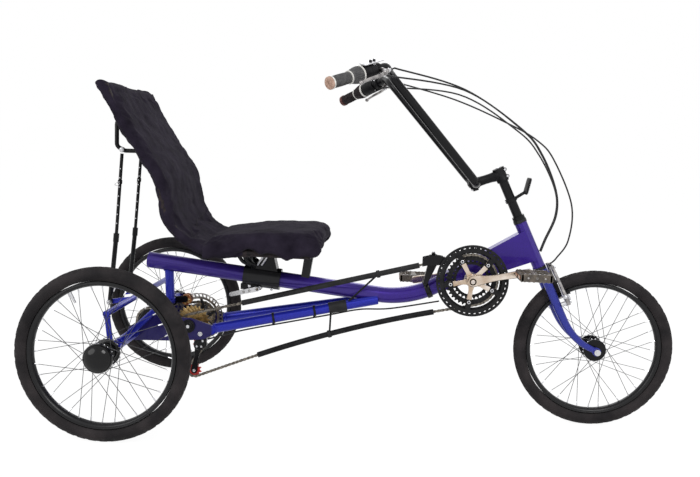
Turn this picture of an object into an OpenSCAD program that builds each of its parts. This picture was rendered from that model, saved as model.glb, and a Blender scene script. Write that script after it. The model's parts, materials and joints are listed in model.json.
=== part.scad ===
// Delta recumbent trike: one steered front wheel, two rear wheels, long handlebar, sling seat.
// +X is forward, +Y is the rider's left, +Z is up. The origin is on the ground midway along the wheelbase.
// All sizes are in millimetres.

/* [Wheels] */
// Distance from the rear axle to the front axle
wheelbase = 1420; // [1250:10:1750]
// Distance between the middles of the two rear tyres
track = 700; // [600:10:850]
// Outer radius of all three tyres
tyre_r = 245; // [225:1:300]
// Width of a tyre
tyre_w = 42; // [30:1:54]
// Width of a rim
rim_w = 27; // [20:1:36]
// Height of the rim and tyre band, from the tread to the rim's inner face
band_h = 53; // [45:1:70]
// Number of spokes in a wheel
spoke_count = 36; // [20:4:36]
// Spoke diameter
spoke_d = 2.2; // [1.8:0.1:3]
// Radius of a rear hub's flange
rear_flange_r = 38; // [30:1:50]
// Radius of the front hub's flange
front_flange_r = 34; // [25:1:45]

/* [Frame] */
// Diameter of the main tube
tube_d = 50; // [40:1:60]
// Bore of the main tube's open rear end
tube_bore_d = 44; // [30:1:46]
// Depth of that bore
tube_bore_depth = 150; // [60:5:200]
// Radius of the boom's upward bend
boom_bend_r = 300; // [220:10:400]
// Rise of the boom ahead of the bend, in degrees
boom_rise = 32; // [26:1:36]
// Diameter of each lower stay
stay_d = 30; // [22:1:34]
// Thickness of the two rear side plates
plate_t = 6; // [4:0.5:10]
// Half the distance between the side plates' inner faces
plate_in = 87; // [84:1:100]
// Diameter of the rear axle housing
housing_d = 32; // [28:1:40]
// Height of the upper rear crossbar above the rear axle
crossbar_rise = 102; // [90:1:120]
// Diameter of the upper rear crossbar
crossbar_d = 18; // [14:1:24]

/* [Steering] */
// Head angle, in degrees from the horizontal
head_angle = 64; // [60:1:72]
// Offset of the front axle ahead of the steering axis
rake = 55; // [40:1:70]
// Length of the head tube
head_len = 150; // [120:5:180]
// Outer diameter of the head tube
head_d = 38; // [36:1:46]
// Diameter of the steerer and of the riser above it
steerer_d = 28.6; // [25.4:0.1:30]
// Length of the riser above the headset, up to the stem
riser_len = 150; // [90:1:180]
// Length of the stem, which points back to the rider
stem_len = 84; // [60:1:120]
// Diameter of the handlebar tube
bar_d = 25.4; // [22.2:0.1:28]
// Height of the handlebar's top above the stem's clamp
bar_rise = 302; // [240:2:360]
// Distance that the handlebar's top lies behind the stem's clamp
bar_back = 268; // [200:2:320]
// Half the width across the grip ends
bar_half_w = 325; // [280:5:380]

/* [Drive] */
// Crank length from spindle to pedal axle
crank_len = 170; // [150:1:175]
// Distance from the front axle back to the crank spindle
crank_behind = 395; // [375:1:440]
// Height of the crank spindle
crank_z = 453; // [430:1:480]
// Angle of the right crank above the horizontal, in degrees
crank_angle = 12; // [0:1:30]
// Pitch radius of the chainring that carries the chain
ring_r = 77.6; // [60:0.1:82]
// Pitch radius of the rear cog that carries the chain
cog_r = 30.4; // [24:0.1:36]
// Pitch radius of both final drive sprockets
final_r = 44.6; // [38:0.1:48]
// Distance from the rear axle forward to the jackshaft
jack_ahead = 168; // [150:1:190]
// Height of the jackshaft
jack_z = 274; // [262:1:285]

/* [Seat] */
// Half the distance between the backrest's side rails
rail_half = 200; // [170:5:230]
// Diameter of the seat's side rails
rail_d = 22; // [18:1:26]
// Thickness of the backrest sling
sling_t = 8; // [4:1:14]
// Half the width of the seat cushion
cushion_half = 178; // [150:2:210]

/* [Hidden] */
$fn = 48;
gap = 0.3;          // clearance between pieces that lie on each other
run = 0.08;         // radial running clearance of a shaft in its bearing
blue = [0.17, 0.11, 0.55];
black = [0.06, 0.06, 0.07];
steel = [0.72, 0.72, 0.74];
alloy = [0.80, 0.74, 0.66];

// Wheels
rear_x = -wheelbase / 2;
front_x = wheelbase / 2;
axle_z = tyre_r;
half_track = track / 2;
rim_in_r = tyre_r - band_h;
rim_out_r = tyre_r - tyre_w + 4;
flange_half = 28;       // half the distance between a hub's flanges
flange_t = 4;
spoke_lead = 62;        // degrees that a spoke's rim end leads or trails its flange end
dome_depth = 26;
axle_r = 8.5;

// Steering axis: a local frame whose Z runs up the steerer and whose X points forward
steer_base = [front_x - rake * sin(head_angle), axle_z - rake * cos(head_angle)];
crown_s = tyre_r + 16;
crown_h = 32;
cup_h = 9;
head_s = crown_s + crown_h + cup_h + 2;
head_top_s = head_s + head_len;
stem_s = head_top_s + cup_h + riser_len;
function steer_point(x, s) = [
    steer_base.x + x * sin(head_angle) - s * cos(head_angle),
    steer_base.y + x * cos(head_angle) + s * sin(head_angle)];
blade_y = 44;           // middle of a fork blade's end
stem_rise = 6;
clamp_at = steer_point(-stem_len * cos(stem_rise), stem_s + stem_len * sin(stem_rise));

// Main tube: straight and slightly falling forward, then bent up to the head tube
crank_x = front_x - crank_behind;
tail = [rear_x + 14, 459];
bend = [crank_x - 280, 383];
tube_fall = atan2(tail.y - bend.y, bend.x - tail.x);
tube_len = norm(bend - tail);
bend_centre = bend + boom_bend_r * [sin(tube_fall), cos(tube_fall)];
boom_start = bend_centre + boom_bend_r * [sin(boom_rise), -cos(boom_rise)];
function tube_z(x) = tail.y - (x - tail.x) * tan(tube_fall);
shell_r = 21;
shell_half = 36;
cup_bore_r = 17;
boom_half_w = 21;

// Drive train, in the plane of the carrying chainring
jack = [rear_x + jack_ahead, jack_z];
crank = [crank_x, crank_z];
chain_y = -66;
chain_w = 6.6;
chain_half_h = 3.5;
root = 4;               // a sprocket's root lies this far inside its pitch radius
ring_gap = 8;
cog_gap = 5;
guide_r = 18;
guide = jack + [27, -62];
tension_r = 21;
tension = [rear_x + 182, guide.y - 84];
tube_bend_r = 3600;
run_mid = (tension + crank) / 2 + [0, -25];
run_angle = atan2(crank.y - ring_r - tension.y + tension_r, crank.x - tension.x);
tube_bend = run_mid + tube_bend_r * [sin(run_angle), -cos(run_angle)];
final_y = 60;
rotor_y = 38;
rotor_r = 78;

// Seat: side view of the backrest's rails, top first, from the rear axle
rail_path = [
    [rear_x - 52, 985], [rear_x - 14, 900], [rear_x + 48, 805], [rear_x + 96, 735],
    [rear_x + 114, 670], [rear_x + 130, 615], [rear_x + 166, 566], [rear_x + 222, 534],
    [rear_x + 300, 520]];
cushion_rear = rear_x + 238;
cushion_front = rear_x + 578;
cushion_top = 582;
cushion_base = 531.5;
pan_x = [rear_x + 300, rear_x + 545];
pan_z = 520;
strut_y = 78;
strut_top = [rear_x - 37, 790];
strut_foot = [rear_x - 80, axle_z + crossbar_rise - 12];

// ---- general shapes ----

// Turns what is drawn in a side view (X forward, Y up) into a plate of thickness t, centred on y
module side_plate(y, t) translate([0, y + t / 2, 0]) rotate([90, 0, 0]) linear_extrude(height = t)
    children();

// A cylinder along Y, from y0 to y1, about a point of the side view
module cross_rod(p, y0, y1, r) translate([p.x, y0, p.y]) rotate([-90, 0, 0]) cylinder(h = y1 - y0, r = r);

// A cylinder between two points in space
module rod(a, b, r, r2 = undef) {
    d = b - a;
    translate(a) rotate([0, acos(d.z / norm(d)), atan2(d.y, d.x)])
        cylinder(h = norm(d), r1 = r, r2 = is_undef(r2) ? r : r2);
}

// The same object on both sides of the middle plane
module both_sides() {
    children();
    mirror([0, 1, 0]) children();
}

// Steering frame: local Z up the steerer, local X forward
module steer() translate([steer_base.x, 0, steer_base.y]) rotate([0, head_angle - 90, 0]) children();

function lift(p, y) = [p.x, y, p.y];
function unit(v) = v / norm(v);

// Rounds a path: a Catmull-Rom curve through its points, with n steps between two of them
function bezier_step(p, i, t) =
    let(a = p[max(i - 1, 0)], b = p[i], c = p[i + 1], d = p[min(i + 2, len(p) - 1)])
    0.5 * (2 * b + (c - a) * t + (2 * a - 5 * b + 4 * c - d) * t * t + (3 * b - a - 3 * c + d) * t * t * t);
function smooth_path(p, n) = [
    for (i = [0:len(p) - 2]) for (k = [0:n - 1]) bezier_step(p, i, k / n), p[len(p) - 1]];

// The direction across a flat path at its point i, to the left of its heading
function path_side(path, i) =
    let(d = unit(path[min(i + 1, len(path) - 1)] - path[max(i - 1, 0)])) [-d.y, d.x];

// A round tube swept along points in space, closed at both ends
module sweep(path, r, sides = 12) {
    n = len(path);
    dirs = [for (i = [0:n - 1]) unit(path[min(i + 1, n - 1)] - path[max(i - 1, 0)])];
    side_ref = abs(unit(path[n - 1] - path[0]) * [0, 1, 0]) > 0.9 ? [1, 0, 0] : [0, 1, 0];
    rings = [for (i = [0:n - 1])
        let(u = unit(cross(dirs[i], side_ref)), v = cross(dirs[i], u))
        [for (k = [0:sides - 1]) path[i] + (is_list(r) ? r[i] : r) *
            (cos(360 * k / sides) * u + sin(360 * k / sides) * v)]];
    points = [for (ring = rings) for (p = ring) p];
    walls = [for (i = [0:n - 2]) for (k = [0:sides - 1])
        let(k2 = (k + 1) % sides)
        [i * sides + k, (i + 1) * sides + k, (i + 1) * sides + k2, i * sides + k2]];
    first = [for (k = [0:sides - 1]) k];
    last = [for (k = [sides - 1:-1:0]) (n - 1) * sides + k];
    polyhedron(points = points, faces = concat([first], walls, [last]));
}

// A path with its corners rounded: radii has one entry for each corner, n steps in each
function corner(a, b, c, r, n) =
    let(u = unit(a - b), v = unit(c - b), half = acos(u * v) / 2,
        p0 = b + r / tan(half) * u, p1 = b + r / tan(half) * v, m = b + r / sin(half) * unit(u + v))
    [for (k = [0:n]) m + r * unit((p0 - m) * (1 - k / n) + (p1 - m) * k / n)];
function round_path(p, radii, n) = concat([p[0]],
    [for (i = [1:len(p) - 2]) each corner(p[i - 1], p[i], p[i + 1], radii[i - 1], n)], [p[len(p) - 1]]);

// Belt round sprockets, each [centre, radius, turn] with turn 1 anticlockwise or -1 clockwise in
// the side view
function belt_heading(a, b) =
    let(d = b[0] - a[0]) atan2(d.y, d.x) - asin((b[2] * b[1] - a[2] * a[1]) / norm(d));
function belt_point(w, heading) = w[0] + w[2] * w[1] * [sin(heading), -cos(heading)];
function turn_from(h0, h1, turn) = turn > 0 ? (h1 - h0 + 720) % 360 : -((h0 - h1 + 720) % 360);
function belt_path(wheels, step) = let(n = len(wheels)) [
    for (i = [0:n - 1])
        let(w = wheels[i],
            h0 = belt_heading(wheels[(i + n - 1) % n], w),
            h1 = belt_heading(w, wheels[(i + 1) % n]),
            span = turn_from(h0, h1, w[2]),
            parts = max(1, ceil(abs(span) / min(step, 3000 / w[1]))))
        for (k = [0:parts]) belt_point(w, h0 + span * k / parts)];

// A belt of the given half height and width, in the plane y
module belt(wheels, y, half_h, w) {
    path = belt_path(wheels, 12);
    n = len(path);
    function side(i) = let(d = unit(path[(i + 1) % n] - path[(i + n - 1) % n])) [-d.y, d.x];
    points = [for (i = [0:n - 1]) each [
        lift(path[i] + half_h * side(i), y - w / 2), lift(path[i] + half_h * side(i), y + w / 2),
        lift(path[i] - half_h * side(i), y + w / 2), lift(path[i] - half_h * side(i), y - w / 2)]];
    faces = [for (i = [0:n - 1]) for (k = [0:3])
        let(j = (i + 1) % n, k2 = (k + 1) % 4) [4 * i + k, 4 * i + k2, 4 * j + k2, 4 * j + k]];
    polyhedron(points = points, faces = faces);
}

main_chain_wheels = [
    [crank, ring_r, 1], [jack, cog_r, 1], [guide, guide_r, -1], [tension, tension_r, 1],
    [tube_bend, tube_bend_r, -1]];
final_chain_wheels = [[jack, final_r, 1], [[rear_x, axle_z], final_r, 1]];
top_heading = belt_heading(main_chain_wheels[0], main_chain_wheels[1]);
top_front = belt_point(main_chain_wheels[0], top_heading);
top_rear = belt_point(main_chain_wheels[1], top_heading);
low_in = belt_heading(main_chain_wheels[3], main_chain_wheels[4]);
low_out = belt_heading(main_chain_wheels[4], main_chain_wheels[0]);

// ---- frame ----

module main_tube() color(blue)
    translate([tail.x, 0, tail.y]) rotate([0, 90 + tube_fall, 0]) difference() {
        cylinder(h = tube_len, r = tube_d / 2);
        translate([0, 0, -1]) cylinder(h = tube_bore_depth + 1, r = tube_bore_d / 2);
    }

// Side view of the boom's box section, which grows tall towards the head tube
module boom_box() {
    up = [-sin(boom_rise), cos(boom_rise)];
    ahead = [cos(boom_rise), sin(boom_rise)];
    heel = boom_start - 4 * ahead;
    polygon([heel + (tube_d / 2 - 3) * up, heel - (tube_d / 2 - 3) * up,
        steer_point(0, head_s + 24), steer_point(0, head_s + 124)]);
}

module boom() color(blue) difference() {
    union() {
        translate([bend_centre.x, 0, bend_centre.y]) rotate([90, 0, 0])
            rotate([0, 0, -90 - tube_fall]) rotate_extrude(angle = tube_fall + boom_rise, $fn = 96)
                translate([boom_bend_r, 0]) circle(r = tube_d / 2);
        side_plate(0, 2 * boom_half_w) boom_box();
        steer() translate([0, 0, head_s]) cylinder(h = head_len, r = head_d / 2);
        cross_rod(crank, -shell_half, shell_half, shell_r);
    }
    steer() translate([0, 0, head_s - 1]) cylinder(h = head_len + 2, r = steerer_d / 2 + 1.2);
    cross_rod(crank, -shell_half - 1, shell_half + 1, cup_bore_r);
}

bridge = [rear_x + 84, jack.y + 52];
bridge_r = 12;
stay_rear = [jack.x + 74, jack.y - 8];
stay_front = [bend.x - 2, bend.y - 14];
plate_mid = plate_in + plate_t / 2;

// Side view of a rear side plate, from the axle housing to the end of its stay
module plate_outline() difference() {
    union() {
        polygon([[rear_x - 4, axle_z + 22], [rear_x + 44, jack.y + 24], [bridge.x - 13, bridge.y + 12],
            [bridge.x + 13, bridge.y + 12], [bridge.x + 34, jack.y + 26], [jack.x + 8, jack.y + 24],
            [stay_rear.x + 12, stay_rear.y + 8], [stay_rear.x + 8, stay_rear.y - 12],
            [jack.x + 48, jack.y - 40], [jack.x - 30, axle_z - 20], [rear_x - 4, axle_z - 24]]);
        translate([rear_x, axle_z]) circle(r = housing_d / 2 + 8);
    }
    translate(jack) circle(r = 20);
    translate([rear_x, axle_z]) circle(r = housing_d / 2 + gap);
}

// Each side: a lower stay, its side plate, and on the plate the jackshaft's bearing
module rear_stays() color(blue) both_sides() difference() {
    union() {
        side_plate(plate_mid, plate_t) plate_outline();
        rod(lift(stay_rear, plate_in - 8), lift(stay_front, 17), stay_d / 2);
        translate([jack.x, plate_in, jack.y]) rotate([-90, 0, 0]) cylinder(h = plate_t + 4, r = 21);
    }
    cross_rod(jack, plate_in - 1, plate_in + plate_t + 5, axle_r + run);
    translate([tail.x, 0, tail.y]) rotate([0, 90 + tube_fall, 0])
        cylinder(h = tube_len + 50, r = tube_d / 2 + gap);
    translate([-wheelbase, -wheelbase, 0]) cube([2 * wheelbase, wheelbase + 2, wheelbase]);
}

post_top_x = rear_x + 78;

// Upright between the side plates' bridge and the main tube
module rear_post() color(blue) difference() {
    union() {
        cross_rod(bridge, -plate_in + gap, plate_in - gap, bridge_r);
        rod(lift(bridge, 0), [post_top_x, 0, tube_z(post_top_x)], 14);
    }
    translate([tail.x, 0, tail.y]) rotate([0, 90 + tube_fall, 0])
        cylinder(h = tube_len, r = tube_d / 2 + gap);
}

housing_end = half_track - 48;
crossbar = [rear_x - 12, axle_z + crossbar_rise];
drop_y = housing_end - 14;

brace_foot = [rear_x + 8, housing_end - 38, axle_z + 6];
brace_top = [rear_x + 62, plate_in, jack.y + 42];

// Axle housings, the crossbar above them, the drops that join them, and the braces up to the side plates
module axle_frame() color(blue) difference() {
    union() {
        cross_rod([rear_x, axle_z], -housing_end, 18, housing_d / 2);
        cross_rod([rear_x, axle_z], plate_in - 10, housing_end, housing_d / 2);
        cross_rod(crossbar, -drop_y - crossbar_d / 2, drop_y + crossbar_d / 2, crossbar_d / 2);
        both_sides() {
            rod(lift(crossbar, drop_y), [rear_x, drop_y, axle_z], crossbar_d / 2 - 1);
            difference() {
                rod(brace_foot, brace_top, 10);
                side_plate(plate_in, 2 * (plate_t + gap)) translate(jack - [200, 80]) square(200);
            }
            side_plate(strut_y - 0.4, 4.2) polygon([crossbar + [0, 7], crossbar - [0, 7],
                strut_foot + [-9, -9], strut_foot + [-9, 6]]);
        }
    }
    cross_rod([rear_x, axle_z], -housing_end - 1, 19, axle_r + run);
    cross_rod([rear_x, axle_z], plate_in - 11, housing_end + 1, axle_r + run);
    both_sides() side_plate(strut_y, 7) translate(strut_foot) circle(r = 3.2);
}

// Bearing cups at both ends of the head tube
module headset() color(black) steer() for (s = [head_s - cup_h, head_top_s])
    translate([0, 0, s]) difference() {
        cylinder(h = cup_h, r = head_d / 2 + 1.5);
        translate([0, 0, -1]) cylinder(h = cup_h + 2, r = steerer_d / 2 + run);
    }

spindle_r = 8.5;

// Bearing cups in the bottom bracket shell
module bottom_bracket() color(steel) both_sides() difference() {
    union() {
        cross_rod(crank, shell_half - 16, shell_half, cup_bore_r - 0.05);
        cross_rod(crank, shell_half + 0.05, shell_half + 2.5, cup_bore_r + 3);
    }
    cross_rod(crank, shell_half - 17, shell_half + 4, spindle_r + run);
}

// ---- seat ----

clamp_x = [rear_x + 322, rear_x + 438];
clamp_wall = 9;
clamp_top = 486;

post_x = rear_x + 512;
pan_rod_r = rail_d / 2 - 0.5;
pan_rods = [rear_x + 318, rear_x + 360, clamp_x[1] - 28, post_x + 14];

// Slider that grips the main tube and carries the seat pan
module seat_clamp() color(black) difference() {
    union() {
        translate([tail.x, 0, tail.y]) rotate([0, 90 + tube_fall, 0])
            translate([0, 0, clamp_x[0] - tail.x])
                cylinder(h = clamp_x[1] - clamp_x[0], r = tube_d / 2 + clamp_wall);
        side_plate(0, 44) polygon([[clamp_x[0] + 6, tube_z(clamp_x[0])],
            [clamp_x[1] - 4, tube_z(clamp_x[1])],
            [clamp_x[1] - 22, clamp_top], [clamp_x[1] - 52, clamp_top],
            [clamp_x[0] + 30, tube_z(clamp_x[0]) + 36]]);
        both_sides() rod([clamp_x[0] + 34, 14, tube_z(clamp_x[0]) + 22], [pan_rods[0], 70, pan_z - 4], 7);
        side_plate(0, 30) polygon([[clamp_x[1] - 52, clamp_top - 2], [clamp_x[1] - 22, clamp_top - 2],
            [clamp_x[1] - 10, pan_z - 3], [clamp_x[1] - 46, pan_z - 3]]);
        translate([clamp_x[0] - 10, -20, tube_z(clamp_x[0]) - tube_d / 2 - 20]) cube([64, 40, 18]);
    }
    translate([tail.x, 0, tail.y]) rotate([0, 90 + tube_fall, 0])
        cylinder(h = tube_len, r = tube_d / 2 + gap);
    translate([clamp_x[0] - 12, -1.5, tube_z(clamp_x[1]) - tube_d]) cube([clamp_x[1] - clamp_x[0], 3, 30]);
    for (x = [pan_rods[0], pan_rods[2]]) cross_rod([x, pan_z], -rail_half, rail_half, pan_rod_r + gap);
}

lever_pin = [clamp_x[0] + 44, tube_z(clamp_x[0]) - tube_d / 2 - 16];

// Quick-release lever of the seat clamp
module clamp_lever() color(steel) {
    difference() {
        side_plate(-25, 7) hull() {
            translate(lever_pin) circle(r = 9);
            translate(lever_pin + [-84, -22]) circle(r = 6);
        }
        cross_rod(lever_pin, -30, -20, 3);
    }
    cross_rod(lever_pin, -32, -20 - gap, 2.8);
}

// Front support between the main tube and the seat pan
module seat_front_post() color(black) difference() {
    union() {
        side_plate(0, 30) polygon([[post_x - 14, tube_z(post_x)], [post_x + 12, tube_z(post_x)],
            [post_x + 28, pan_z - 3], [post_x, pan_z - 3]]);
    }
    cross_rod([pan_rods[3], pan_z], -rail_half, rail_half, pan_rod_r + gap);
    translate([tail.x, 0, tail.y]) rotate([0, 90 + tube_fall, 0])
        cylinder(h = tube_len, r = tube_d / 2 + gap);
}

back_rod_r = 8;
function back_rod(i) = rail_path[i] + [-3, -4];

pan_inset = 24;         // the rails come in by this much under the cushion

// The rails' distance from the middle plane at x
function rail_y(x) = rail_half - pan_inset * min(1, max(0, (x - pan_x[0]) / 90));

// Side rails of backrest and pan, one bent tube a side
module seat_rails() color(black) both_sides() sweep([
    for (p = concat(smooth_path(rail_path, 4), [[pan_x[0] + 90, pan_z], [pan_x[1], pan_z]]))
        lift(p, rail_y(p.x))],
    rail_d / 2, 12);

// Cross tubes between the rails, three behind the backrest and four under the cushion
module seat_cross_tubes() color(black) {
    for (x = pan_rods) {
        reach = rail_y(x + rail_d / 2) - rail_d / 2 - 3 * gap;
        cross_rod([x, pan_z], -reach, reach, pan_rod_r);
    }
    back_reach = rail_half - rail_d / 2 - 0.1;
    for (i = [0, 1, 2]) cross_rod(back_rod(i), -back_reach, back_reach, back_rod_r);
}

// Foam cushion of the seat
module seat_cushion() color([0.12, 0.12, 0.14]) side_plate(0, 2 * cushion_half) polygon([
    [cushion_rear, cushion_base], [cushion_front - 22, cushion_base], [cushion_front, cushion_base + 26],
    [cushion_front - 12, cushion_top - 6], [cushion_front - 60, cushion_top],
    [rear_x + 340, cushion_top - 6],
    [rear_x + 270, cushion_top - 22], [cushion_rear, cushion_base + 22]]);

// How far the sling's back edge stays inside a rail's middle, so that it just clears the round rail
sling_inset = sqrt(pow(rail_d / 2, 2) - pow(rail_d / 2 - 4, 2)) + gap;

// Sling of the backrest, between the rails
module seat_sling() color([0.12, 0.12, 0.14]) {
    path = smooth_path([for (i = [0:7]) rail_path[i]], 4);
    n = len(path);
    front = [for (i = [0:n - 1]) path[i] + (rail_d / 2 + sling_t - 4) * path_side(path, i)];
    back = [for (i = [n - 1:-1:0]) path[i] + (rail_d / 2 - 4) * path_side(path, i)];
    side_plate(0, 2 * (rail_half - sling_inset)) polygon(concat(front, back));
}

bracket_y = strut_y;
bracket_r = 6.5;
bracket_low = [rear_x - 42, 803];

// Two bent tubes behind the backrest, from its upper cross tube down to the lower one
module seat_bracket() color(black) difference() {
    both_sides() sweep(round_path([
        lift(back_rod(1), bracket_y), [rear_x - 62, bracket_y, 892], [rear_x - 62, bracket_y, 812],
        [rear_x - 38, bracket_y, 800], lift(back_rod(2), bracket_y)], [16, 16, 16], 4), bracket_r, 12);
    for (i = [1, 2]) cross_rod(back_rod(i), -rail_half, rail_half, back_rod_r + gap);
    cross_rod(bracket_low, -bracket_y - 12, bracket_y + 12, 2.8);
}

strut_mid = (strut_top * 0.45 + strut_foot * 0.55);

// Telescopic struts from the crossbar's lugs up to the backrest's bracket
module seat_struts() color(black) both_sides() {
    rod(lift(strut_foot + [0.6, 8], strut_y + 7.5), lift(strut_mid, strut_y + 7.5), 7);
    rod(lift(strut_mid, strut_y + 7.5), lift(bracket_low + [-1, -12], strut_y + 9), 5);
    difference() {
        cross_rod(strut_foot, strut_y + 2.5 + gap, strut_y + 14, 8);
        cross_rod(strut_foot, strut_y, strut_y + 16, 3.2);
    }
    cross_rod(strut_foot, strut_y - 6, strut_y + 16, 3);
    cross_rod(bracket_low, strut_y + bracket_r + gap, strut_y + bracket_r + 7, 8);
    cross_rod(bracket_low, strut_y - 8, strut_y + bracket_r + 9, 2.6);
    rod(lift(strut_mid - [1.3, 17], strut_y + 7.5), lift(strut_mid + [0.7, 9], strut_y + 7.5), 8.5);
}

// ---- drive ----

hanger = jack + [42, -30];
cage_t = 2;
cage_gap = 5.5;

// Side view of the cage that holds both pulleys
module cage_outline() {
    translate(guide) circle(r = 11);
    translate(tension) circle(r = 11);
    polygon([guide + [11, 0], guide - [9, 0], tension - [11, 0], tension + [9, 0]]);
}

// Rear derailleur: body, cage plates and pulley bolts
module rear_derailleur() color(black) {
    difference() {
        for (y = [chain_y - cage_gap - cage_t / 2, chain_y + cage_gap + cage_t / 2])
            side_plate(y, cage_t) cage_outline();
        for (p = [guide, tension]) cross_rod(p, chain_y - 20, chain_y + 20, 2.9);
    }
    for (p = [guide, tension]) cross_rod(p, chain_y - cage_gap - cage_t - 1,
        chain_y + cage_gap + cage_t + 1, 2.9);
    difference() {
        side_plate(-plate_in + gap + 6, 12) polygon([hanger + [-11, 8], hanger + [12, 9], guide + [24, 2],
            guide + [14, -16], guide + [-12, -12], guide + [-13, 8]]);
        cross_rod(guide, -plate_in, chain_y - cage_gap - cage_t, 5);
    }
    cross_rod(guide, -plate_in + 2, chain_y - cage_gap - cage_t, 5);
}

module pulley(p, r) difference() {
    cross_rod(p, chain_y - 3, chain_y + 3, r - 4);
    cross_rod(p, chain_y - 4, chain_y + 4, 3.1);
}

// The derailleur's guide and tension pulleys
module jockey_wheels() color([0.7, 0.1, 0.1]) {
    pulley(guide, guide_r);
    pulley(tension, tension_r);
}

mech_x = crank.x - 76;

// Front derailleur: a clamp round the main tube, a body and the cage over the chain
module front_derailleur() color(black) {
    difference() {
        union() {
            translate(fd_base) rotate([0, 90 - fd_tilt, 0]) translate([0, 0, -8])
                cylinder(h = 16, r = tube_d / 2 + 4);
            side_plate(-38, 22) polygon([fd_on([-14, 12]), fd_on([14, 12]), fd_cage + [16, -14],
                fd_cage + [16, 10], fd_cage + [-14, 6], fd_cage + [-18, -20]]);
        }
        translate(fd_base) rotate([0, 90 - fd_tilt, 0]) translate([0, 0, -60])
            cylinder(h = 120, r = tube_d / 2 + gap);
    }
    for (y = [chain_y - 9, chain_y + 9]) side_plate(y, 2) polygon([fd_cage + [-34, -16], fd_cage + [30, -4],
        fd_cage + [34, 20], fd_cage + [8, 28], fd_cage + [-30, 10]]);
    side_plate(chain_y, 20) polygon([fd_cage + [-2, 24], fd_cage + [8, 28], fd_cage + [34, 20],
        fd_cage + [32, 16]]);
    side_plate(chain_y + 14, 12) polygon([fd_cage + [-14, -6], fd_cage + [12, -2], fd_cage + [10, 18],
        fd_cage + [-14, 10]]);
}
fd_angle = -90 + 24;
fd_base = [bend_centre.x + boom_bend_r * cos(fd_angle), 0, bend_centre.y + boom_bend_r * sin(fd_angle)];
fd_tilt = fd_angle + 90;
function fd_on(p) = [fd_base.x + p.x * cos(fd_tilt) - p.y * sin(fd_tilt),
    fd_base.z + p.x * sin(fd_tilt) + p.y * cos(fd_tilt)];
fd_cage = top_front + [-98, -25];

// Disc brake caliper, held on the bridge, with a slot for the rotor
caliper = jack + [-40, 56];
module brake_caliper() color([0.65, 0.12, 0.1]) difference() {
    union() {
        side_plate(rotor_y - 1, 30) translate(caliper) circle(r = 17);
        side_plate(rotor_y - 12, 5) polygon([bridge + [2, 18], bridge + [16, -6], caliper + [2, -8],
            caliper + [-4, 16]]);
        cross_rod(bridge, rotor_y - 16, rotor_y - 9, bridge_r + 5);
    }
    cross_rod(bridge, -plate_in, plate_in, bridge_r + gap);
    cross_rod(jack, rotor_y - 5.5, rotor_y + 5.5, rotor_r + 5.5);
}

// Main drive chain
module chain() color(steel) belt(main_chain_wheels, chain_y, chain_half_h, chain_w);

// Drive chain from the jackshaft to the rear axle
module final_chain() color(steel) belt(final_chain_wheels, final_y, chain_half_h, chain_w);

duct_r = 8.5;
duct_in_r = 6.5;
top_duct = [rear_x + 327, fd_cage.x - 42];
low_duct = [rear_x + 380, rear_x + 915];
function top_run_z(x) = top_rear.y + (x - top_rear.x) * (top_front.y - top_rear.y) / (top_front.x - top_rear.x);
function low_run_angle(x) = asin((tube_bend.x - x) / tube_bend_r);
function low_run_z(x) = tube_bend.y + tube_bend_r * cos(low_run_angle(x));

// Two tubes that the chain runs in: the straight upper one and the bowed lower one
module chain_tubes() color(black) {
    difference() {
        rod([top_duct[0], chain_y, top_run_z(top_duct[0])],
            [top_duct[1], chain_y, top_run_z(top_duct[1])], duct_r);
        rod([top_duct[0] - 4, chain_y, top_run_z(top_duct[0] - 4)],
            [top_duct[1] + 4, chain_y, top_run_z(top_duct[1] + 4)], duct_in_r);
    }
    translate([tube_bend.x, chain_y, tube_bend.y]) rotate([90, 0, 0])
        rotate([0, 0, 90 + low_run_angle(low_duct[1])])
            rotate_extrude(angle = low_run_angle(low_duct[0]) - low_run_angle(low_duct[1]), $fn = 720)
                translate([tube_bend_r, 0]) difference() {
                    circle(r = duct_r, $fn = 24);
                    circle(r = duct_in_r, $fn = 24);
                }
}

low_hook_x = rear_x + 600;
top_hook_x = rear_x + 742;
stay_dir = unit(lift(stay_front, -17) - lift(stay_rear, -(plate_in - 8)));
function stay_at(x) = lift(stay_rear, -(plate_in - 8)) + stay_dir * (x - stay_rear.x) / stay_dir.x;

// Wire hangers that hold the chain tubes on the right stay
module tube_hangers() color(black) difference() {
    union() {
        rod(stay_at(low_hook_x), [low_hook_x, chain_y, low_run_z(low_hook_x)], 3);
        translate([low_hook_x - 5, chain_y, low_run_z(low_hook_x) - 1.5]) rotate([0, 72, 0])
            cylinder(h = 10, r = duct_r + 3);
        rod(stay_at(rear_x + 640), [top_hook_x, chain_y, top_run_z(top_hook_x)], 3);
        translate([top_hook_x - 5, chain_y, top_run_z(top_hook_x) - 1.3]) rotate([0, 75, 0])
            cylinder(h = 10, r = duct_r + 3);
        rod(stay_at(low_hook_x - 7), stay_at(low_hook_x + 47), stay_d / 2 + 2.5);
    }
    rod(stay_at(low_hook_x - 40), stay_at(low_hook_x + 90), stay_d / 2 + gap);
    rod([top_duct[0] - 4, chain_y, top_run_z(top_duct[0] - 4)],
        [top_duct[1] + 4, chain_y, top_run_z(top_duct[1] + 4)], duct_r + gap);
    rod([low_hook_x - 20, chain_y, low_run_z(low_hook_x - 20)],
        [low_hook_x + 20, chain_y, low_run_z(low_hook_x + 20)],
        duct_r + gap);
}

// A sprocket of pitch radius r centred on the plane y, bored to b
module sprocket(p, y, r, t, b) difference() {
    cross_rod(p, y - t / 2, y + t / 2, r - root);
    cross_rod(p, y - t, y + t, b);
}

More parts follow.
